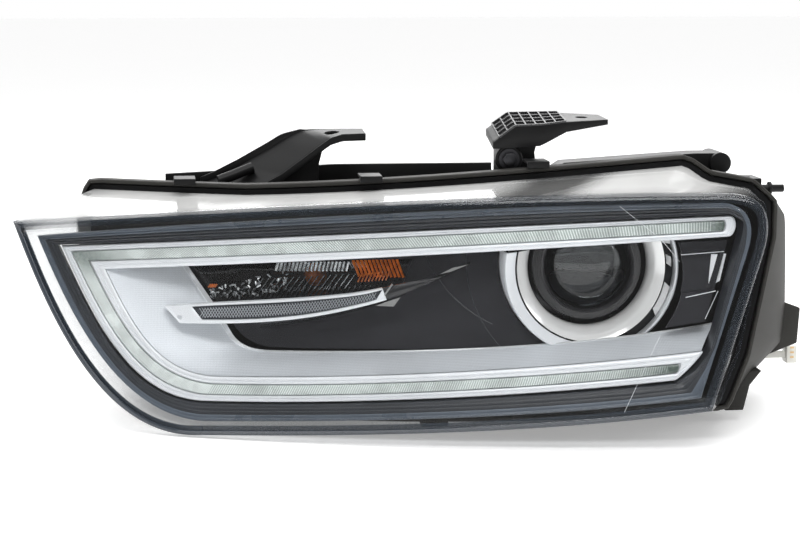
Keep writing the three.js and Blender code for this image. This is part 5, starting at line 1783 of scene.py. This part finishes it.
@dataclass
class Projector:
    """The projector: its silver ring and chrome cone, the stepped holder, and the glass dome."""

    glass: float = 35.0
    body: str = "projector"
    sides: int = 160
    wide: tuple = ((69.0, 88), (69.6, 88.4), (70, 89.4), (70, 124), (68.6, 124), (68.6, 93.2), (64.5, 92.6),
                   (61.8, 93.6), (61.1, 94), (61.1, 92.4), (61.8, 91.6), (64.5, 90.6), (67.6, 88.6))
    thin: tuple = ((69.0, 88), (70, 89.0), (70, 124), (68.6, 124), (68.6, 103), (67.8, 100), (67.8, 89.0))
    well: tuple = ((60.8, 96.5), (68.2, 101), (68.2, 102.5), (60.8, 98))
    facets: tuple = (  # first and last angle, inner and outer radius
        ((18, 47), 60.9, 67.4), ((2, 9), 61.5, 66.0), ((-34, -12), 61.5, 67.2))

    def turned(self, name: str, profile: Sequence, smooth: float = SHARP) -> bpy.types.Object:
        """A solid turned about the optical axis."""
        return Shape().turned(profile, *AXIS, self.sides).made(name, smooth)

    def surround(self) -> None:
        """The silver ring in two halves, its well and facets, and the chrome cone, cut at arm and trim."""
        run = 180.0
        arm_rise, trim_rise = 13.0, 6.0
        arm, trim = math.hypot(run, arm_rise), math.hypot(run, trim_rise)
        cuts = (((60, 0, 146), (-arm_rise / arm, 0.0, run / arm)),
                ((60, 0, 72), (trim_rise / trim, 0.0, -run / trim)))
        left, right = [((AXIS[0], 0, 0), (side, 0.0, 0.0)) for side in (1.0, -1.0)]
        for name, across, node, profile in (("ring_outer", left, "projector_ring_outer", self.wide),
                                            ("ring_inner", right, "projector_ring_inner", self.thin)):
            ring = sliced(self.turned(name, profile), (*cuts, across))
            put(ring, SILVER, "silver_plastic", node)
        well = sliced(self.turned("ring_well", self.well), (*cuts, right))
        put(well, BLACK_GLOSS, "anthracite_plastic")
        facets = Shape()
        for span, near, far in self.facets:
            turn = arc(span, 14)
            face = np.stack([at_depth(circle(*AXIS, radius, turn + twist), depth)
                             for radius, depth, twist in ((near, 94.4, 0.0), (far, 97.2, -0.05))])
            facets.slab(face, face + (0, 1.6, 0))
        # Facets painted near-white, standing in for bright reflections.
        put(sliced(facets.made("ring_facets"), cuts), PAINTED_BRIGHT_CHROME, "chromed")
        steps = np.linspace(0, 1, 9)
        bow = np.sin(steps * math.pi) * 1.6
        face = [(59.7 - 10.5 * s - b, 92 + 12.5 * s - b * 0.2) for s, b in zip(steps, bow)]
        cone = self.turned("chrome_cone", (*face, (49.2, 116), (50.4, 116), (50.4, 106), (59.7, 94.5)), 40.0)
        # The chrome cone painted near-white, standing in for its bright reflections.
        put(sliced(cone, cuts), PAINTED_BRIGHT_CHROME, "chromed", "projector_chrome_cone")

    def holder(self) -> None:
        """The stepped black holder of the glass."""
        stair = [(self.glass + 0.5, 106.0), (37.2, 104.2), (38.0, 104.0)]
        for k in range(5):
            radius, depth = 38.6 + k * 1.15, 104.6 + k * 1.35
            stair += [(radius, depth), (radius + 0.25, depth + 1.1), (radius + 0.9, depth + 1.15)]
        stair += [(44.6, 112), (45, 113), (45, 149), (50, 149), (50, 153), (39, 153), (39, 122.5),
                  (33, 122.5), (33, 120.6), (35.5, 120.6)]
        holder = Shape().turned(stair, *AXIS, 128).made("glass_holder", 28.0)
        put(holder, BLACK_GLOSS, "black_plastic", "projector_lens_holder", body=self.body)

    def dome(self) -> None:
        """The glass dome."""
        height, apex = 20.0, GLASS_APEX
        ball = (self.glass**2 + height**2) / (2 * height)
        end = math.asin(self.glass / ball)
        turn = np.linspace(0, end, 25)
        arc = [(ball * math.sin(a), apex + ball * (1 - math.cos(a))) for a in turn]
        dome = Shape().turned([*arc, (self.glass, 119.6), (34.4, 120.2), (0, 120.2)], *AXIS, 128)
        put(dome.made("glass_dome", 40.0), GLASS, "optic_glass", "projector_glass", body=self.body)

    def build(self) -> None:
        """Makes the projector's visible pieces."""
        self.surround()
        self.holder()
        self.dome()


# ------------------------------------------------------------------------------------- covers and brackets


@dataclass
class RearCovers:
    """The dust caps and what is fixed to the back wall."""

    caps: tuple = (  # name, node, body, (x, z, bore, flange), thickness, grips
        ("main_cap_cover", "main_dust_cap", "main_cap", (150, 126, 48, 56), 12, 60),
        ("small_cap_cover", "small_dust_cap", "small_cap", (-62, 116, 30, 37), 10, 44),
    )
    copies: tuple = (  # node, finish, slot, width of the rounding
        ("ballast", ALLOY, "alloy", 0.8), ("main_connector", BLACK, "black_plastic", 0.5),
        ("vent_cap", RUBBER, "rubber", 0.6))
    screw_places: tuple = ((-27, 24), (-27, 80), (57, 24), (57, 80))
    ballast_depth: float = 22.2

    def cap(self, name: str, node: str, body: str, place: Sequence[float], thickness: float,
            grips: int) -> None:
        """A bayonet cap with a ribbed rim and a bar to turn it by.

        Args:
            name: the piece's name.
            node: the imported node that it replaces.
            body: its body.
            place: x, z, bore radius and flange radius.
            thickness: how far it stands behind the back wall.
            grips: the number of ribs round its rim.
        """
        x, z, hole, flange = place
        top = BACK + thickness
        profile = [
            (0, BACK + 2), (hole - 3, BACK + 2), (hole - 3, BACK - 6), (hole - 1, BACK - 6),
            (hole - 1, BACK + 0.5), (flange, BACK + 0.5), (flange, BACK + 4.2), (flange - 0.8, BACK + 5),
            (flange - 5, BACK + 5.6), (hole - 4, top - 1.2), (hole - 6, top), (hole - 12, top),
            (hole - 12.6, top - 1.6), (hole - 17, top - 1.6), (hole - 17.6, top), (0, top)]
        disc = Shape().turned(profile, x, z, 112).made(f"{name}_disc")
        bar = bevelled(Shape().box((x - 4, top - 1, z - hole + 12), (x + 4, top + 9, z + hole - 12))
                       .made(f"{name}_bar"), 1.6, 3)
        ribs = grown(f"{name}_ribs", Pattern.RING, Count=grips, Radius=(flange - 1.1) * MM,
                     Centre=spot(x, BACK + 2.8, z), Size=metres(2.0, 2.6, 3.6))
        put(joined(name, (disc, bar, ribs)), BLACK, "black_plastic", node, body=body)

    def build(self) -> None:
        """Makes the caps, and finer copies of the pieces on the back wall."""
        for row in self.caps:
            self.cap(*row)
        for node, finish, slot, width in self.copies:
            put(refined(node, width), finish, slot, node)
        pins = grown("connector_pins", Pattern.ROW, Count=6, Start=spot(258, BACK + 11, 122),
                     Step=metres(5.6, 0, 0), Size=metres(1.2, 12, 1.2))
        put(pins, BRASS, "steel")
        screws = Shape()
        top = BACK + self.ballast_depth
        for x, z in self.screw_places:
            profile = ((0, top - 1), (3.6, top - 1), (3.6, top + 0.2), (2.8, top + 1.0), (1.5, top + 1.0),
                       (1.4, top + 0.2), (0, top + 0.2))
            screws.turned(profile, x, z, 28)
        put(screws.made("ballast_screws"), STEEL, "steel")


@dataclass
class Brackets:
    """The arms, bars and ears by which the lamp is fixed, and the pieces on them."""

    copies: tuple = (  # node, width of the rounding
        ("rear_top_bar", 0.8), ("right_bar", 0.9), ("mounting_ear", 0.8), ("locating_pin", 0.4),
        ("lens_clip_1", 0.5), ("lens_clip_2", 0.5), ("lens_clip_3", 0.5))
    ramp_rear: tuple = ((-156, 188), (-146, 192), (-124, 203), (-98, 217.5), (-84, 226), (-70, 232.4),
                        (-60, 233), (-16.5, 233))
    ramp_near: tuple = ((-109, 187), (-103, 189), (-88, 197), (-70, 210), (-58, 219), (-46, 227.5),
                        (-36, 230.5), (-16.5, 231))
    lattice_top: tuple = ((78, 239), (96, 251.5), (138, 252), (172, 250))
    lattice_bottom: tuple = ((78, 234), (116, 235), (138, 244), (172, 246))
    lattice_depths: tuple[float, float] = (142.0, 184.0)
    bolt: tuple[float, float] = (92, 217)

    def ramp(self) -> None:
        """The left arm: a broad ramp with a flange along its rear edge, a peg, a leg and a foot."""
        tops = [path(56, *outline) for outline in (self.ramp_rear, self.ramp_near)]
        face = self.standing(grid_between(*tops, 12), 275.5 - 34.5 * np.linspace(0, 1, 13))
        plate = Shape().slab(face, face - (0, 0, 4.2)).made("arm_plate")
        carved(plate, self.upright(-44, 258, 6.5, 215, 240))
        plate = bevelled(plate, 0.8)
        flange_top = tops[0] + (0, 4.6) * np.clip((-66 - tops[0][:, :1]) / 22, 0, 1)
        flange_top[:, 1] = np.minimum(flange_top[:, 1], 233.9)
        walls = []
        for upper, lower, y, step in ((flange_top, tops[0] - (0, 4.0), 275.9, -2.6),
                                      (tops[1] + (0, 0.7), tops[1] - (0, 5.5), 240.2, 2.6)):
            front = self.standing(grid_between(upper, lower, 2), y)
            walls.append(bevelled(Shape().slab(front, front + (0, step, 0)).made("arm_wall"), 0.5))
        leg_outline = ((-106, 184.5), (-56.5, 184.5), (-55.5, 205), (-50, 226), (-62, 214.5), (-80, 199.5))
        leg = Shape().prism(leg_outline, 252, 256).made("arm_leg")
        foot = Shape().box((-158, 256, 183.4), (-56, 273, 188.6)).made("arm_foot")
        peg = Shape().tube(np.array([(-141, 252, 191.5), (-128, 254, 196), (-112, 258, 202)]), 4.6, 28)
        parts = (plate, *walls, bevelled(leg, 0.8), bevelled(foot, 0.8), peg.made("arm_peg"))
        arm = joined("left_arm", parts)
        put(arm, BLACK, "black_plastic", "left_bracket")

    def lattice_arm(self) -> None:
        """The middle arm: a post with its boss and a plate that leans forwards, with a lattice on it."""
        top, bottom = path(48, *self.lattice_top), path(48, *self.lattice_bottom)
        lean = np.interp(top[:, 0], (78, 118, 172), (8.0, 7.0, 1.0))[:, None]
        fall = np.hstack([np.zeros_like(lean), lean])
        depths = np.linspace(*self.lattice_depths, 9)
        heights, under = [self.standing(grid_between(row - fall, row, 8), depths) for row in (top, bottom)]
        plate = Shape().slab(heights, under).made("lattice_plate")
        carved(plate, self.upright(154, 163, 5.0, 220, 256))
        post = Shape().prism(((84, 212), (84, 204), (116, 204), (114, 222), (117, 233), (84, 231)), 154, 182)
        foot = Shape().box((86, 173, 195), (114, 182, 206))
        profile = ((0, 147.7), (10.5, 147.7), (11.2, 148.4), (11.2, 156), (0, 156))
        boss = Shape().turned(profile, *self.bolt, 64)
        parts = [bevelled(plate, 0.7), bevelled(post.made("lattice_post"), 1.0),
                 bevelled(foot.made("foot"), 0.6), boss.made("boss")]
        put(joined("middle_arm", parts), BLACK, "black_plastic", "middle_bracket")
        crossing = heights[3:32:4]
        one, other = heights[3:31, ::2].swapaxes(0, 1), heights[4:32, ::2].swapaxes(0, 1)
        lines = np.vstack([crossing[:, 4], ((one + other) / 2).reshape(-1, 3)])
        across = np.vstack([crossing[:, 8] - crossing[:, 0], (other - one).reshape(-1, 3)])
        overlap = np.where(np.arange(len(lines)) < len(crossing), 0.96, 1.05)
        ribs = blocks("lattice_ribs", lines + (0, 0, 0.7), across, np.array([0.0, -0.2, 1.0]),
                      np.linalg.norm(across, axis=1) * overlap, (1.5, 1.1), LIGHTER_BLACK)
        put(ribs, LIGHTER_BLACK, "black_plastic")

    @staticmethod
    def standing(flat: Points, depth: Union[float, Points]) -> Points:
        """A grid of front view points at a depth, or at one depth for each column."""
        depths = np.broadcast_to(depth, flat.shape[:2])[..., None]
        return np.concatenate([flat[..., :1], depths, flat[..., 1:]], axis=2)

    @staticmethod
    def upright(x: float, y: float, radius: float, low: float, high: float) -> Shape:
        """A vertical round tool for a hole."""
        flat = circle(x, y, radius, full_turn(48))
        return Shape().capped([np.column_stack([flat, np.full(len(flat), z)]) for z in (low, high)])

    def build(self) -> None:
        """Makes the two arms, finer copies of the other brackets and the bolt."""
        self.ramp()
        self.lattice_arm()
        for node, width in self.copies:
            put(refined(node, width), BLACK, "black_plastic", node)
        washer, head, shank = [
            Shape().turned(profile, *self.bolt, sides).made("screw") for profile, sides in (
                (((0, 146), (8.5, 146), (8.5, 147.2), (8, 147.6), (0, 147.6)), 64),
                (((0, 141), (6, 141), (6, 146), (0, 146)), 6),
                (((0, 147), (3, 147), (3, 151.6), (0, 151.6)), 32))]
        bolt = joined("bracket_screw", (washer, bevelled(head, 0.5), shank))
        put(bolt, DARK_STEEL, "steel", "bracket_bolt")


@dataclass
class Lead:
    """The short lead of three wires between its grommet and its plug on the side wall."""

    offsets: tuple = (-2.8, 0.0, 2.8)
    radius: float = 0.8
    route: tuple = ((342.4, 262, 66), (348, 260, 65), (352.5, 252, 58), (352.5, 242, 46),
                    (351.5, 232.4, 39.5))

    def wire(self, offset: float) -> Points:
        """The route of one wire, smoothed through its points."""
        points = np.array(self.route, float) + (0, 0, offset)
        padded = np.vstack([2 * points[0] - points[1], points, 2 * points[-1] - points[-2]])
        track = []
        for k in range(1, len(padded) - 2):
            a, b, c, d = padded[k - 1: k + 3]
            for t in np.linspace(0, 1, 12, endpoint=False):
                track.append(0.5 * (2 * b + (c - a) * t + (2 * a - 5 * b + 4 * c - d) * t**2
                                    + (3 * b - a - 3 * c + d) * t**3))
        return np.vstack([track, points[-1:]])

    def build(self) -> None:
        """Makes the wires, the grommet and the plug with its contacts."""
        for k, (offset, finish) in enumerate(zip(self.offsets, (GREEN_WIRE, WHITE_WIRE, GREEN_WIRE))):
            wire = Shape().tube(self.wire(offset), self.radius, 14).made(f"wire_{k + 1}", 60)
            put(wire, finish, "wire_cover", f"lead_wire_{k + 1}")
        put(refined("lead_grommet", 0.6), RUBBER, "rubber", "lead_grommet")
        put(refined("lead_plug", 0.6), WHITE, "white_plastic", "lead_plug")
        contacts = grown("plug_contacts", Pattern.ROW, Count=3, Start=spot(351.5, 216.9, 36.4),
                         Step=metres(0, 0, 4.2), Size=metres(3.2, 0.7, 1.6))
        put(contacts, BRASS, "steel")


CAD_FINISHES: dict[str, Finish] = {
    # Both reflectors get chrome painted dark, standing in for their dark reflections.
    "drl_led_board_upper": BOARD, "drl_led_board_lower": BOARD, "turn_signal_reflector": CHROME_PAINTED_DARK,
    "turn_signal_bulb": AMBER, "turn_signal_bulb_holder": BLACK, "projector_reflector": CHROME_PAINTED_DARK,
    "xenon_bulb": GLASS, "igniter": ALLOY, "beam_shutter": DARK_STEEL, "shutter_solenoid": STEEL,
    "solenoid_plunger": STEEL, "tilt_arm": BLACK, "carrier_frame": BLACK, "levelling_motor": BLACK,
    "levelling_shaft": WHITE, "horizontal_adjuster": NYLON, "vertical_adjuster": NYLON,
    "carrier_pivot_upper": STEEL, "carrier_pivot_lower": STEEL,
}


def dress_packed_nodes() -> None:
    """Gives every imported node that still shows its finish."""
    for node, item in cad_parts.items():
        if item.hide_render:
            continue
        finish = CAD_FINISHES[node]
        item.data.materials.clear()
        item.data.materials.append(finish.material())
        LOG.info("%s: packed shape, %s", node, finish.name)


# ------------------------------------------------------------------------------------- studio


@dataclass
class Studio:
    """A plain pale floor, soft lights all round and the camera."""

    azimuth: float = -6.0
    elevation: float = 8.0
    distance: float = 1.78
    target: tuple[float, float, float] = (0.0, 120.0, 133.0)
    focal: float = 100.0
    floor_half: float = 12.0
    front_glow: float = 0.3
    floor_glow: float = 0.32
    lights: tuple = (
        ("overhead", (0.0, 0.1, 2.1), (2.4, 1.6), 26.0),
        ("front_high", (0.1, -1.7, 2.2), (1.8, 0.9), 33.0),
        ("left_side", (-2.3, 0.7, 0.9), (1.2, 1.2), 16.0),
        ("right_side", (2.3, -0.5, 0.8), (0.8, 1.2), 14.0),
        ("behind", (0.4, 2.4, 1.5), (2.0, 1.2), 26.0),
    )

    def camera(self) -> None:
        """Makes the camera."""
        a, e = math.radians(self.azimuth), math.radians(self.elevation)
        back = Vector((math.sin(a) * math.cos(e), -math.cos(a) * math.cos(e), math.sin(e)))
        item = linked("camera", bpy.data.cameras.new("camera"))
        data = item.data
        data.lens = self.focal
        data.sensor_width = 36.0
        data.clip_start, data.clip_end = 0.05, 60.0
        item.location = Vector(spot(*self.target)) + back * self.distance
        item.rotation_mode = "QUATERNION"
        item.rotation_quaternion = (-back).to_track_quat("-Z", "Y")
        bpy.context.scene.camera = item

    def light(self, name: str, place: Sequence[float], size: Sequence[float], power: float) -> None:
        """A soft rectangular light that faces the lamp."""
        data = bpy.data.lights.new(name, "AREA")
        data.shape = "RECTANGLE"
        data.size, data.size_y = size
        data.energy = power
        item = linked(name, data)
        item.location = place
        aim = Vector((0.0, 0.0, 0.1)) - Vector(place)
        item.rotation_euler = aim.to_track_quat("-Z", "Y").to_euler()

    def floor(self) -> None:
        """A pale floor that glows a little, so that it fades into the surroundings."""
        half = self.floor_half
        mesh = bpy.data.meshes.new("floor")
        corners = [(-half, -half, 0), (half, -half, 0), (half, half, 0), (-half, half, 0)]
        mesh.from_pydata(corners, [], [(0, 1, 2, 3)])
        floor = linked("floor", mesh)
        graph = Graph("pale_floor")
        cloud = graph.noise(3.0, 2.0)
        floor.data.materials.append(graph.done(graph.surface(
            Base_Color=graph.mixed(cloud, (0.9, 0.9, 0.9), (0.93, 0.93, 0.93)), Roughness=cloud * 0.1 + 0.8,
            Emission_Color=(1.0, 1.0, 1.0), Emission_Strength=self.floor_glow)))
        floor.data.materials[0].cycles.emission_sampling = "NONE"

    def surroundings(self) -> None:
        """White surroundings that are dimmer in front of the lamp."""
        world = bpy.data.worlds.new("surroundings")
        world.use_nodes = True
        tree = world.node_tree
        sky = tree.nodes["Background"]
        sky.inputs["Color"].default_value = (1.0, 1.0, 1.0, 1.0)
        way = tree.nodes.new("ShaderNodeTexCoord")
        parts = tree.nodes.new("ShaderNodeSeparateXYZ")
        fall = tree.nodes.new("ShaderNodeMapRange")
        fall.interpolation_type = "SMOOTHSTEP"
        for socket, value in (("From Min", -0.35), ("From Max", 0.25), ("To Min", self.front_glow),
                              ("To Max", 1.0)):
            fall.inputs[socket].default_value = value
        tree.links.new(way.outputs["Generated"], parts.inputs[0])
        tree.links.new(parts.outputs["Y"], fall.inputs["Value"])
        tree.links.new(fall.outputs[0], sky.inputs["Strength"])
        bpy.context.scene.world = world

    def build(self) -> None:
        """Makes the camera, the floor, the lights and the surroundings."""
        self.camera()
        self.floor()
        for row in self.lights:
            self.light(*row)
        self.surroundings()
        bpy.context.scene.view_settings.view_transform = "Standard"


def main() -> None:
    """Builds the lamp and its studio."""
    logging.basicConfig(level=logging.INFO, format="%(message)s")
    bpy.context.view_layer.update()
    Studio().build()
    for assembly in (LensShell, Housing, Bezel, RunningLight, InnerTrim, MarkerStrip, TurnSignal, Projector,
                     RearCovers, Brackets, Lead):
        assembly().build()
    dress_packed_nodes()


if __name__ == "__main__":
    main()
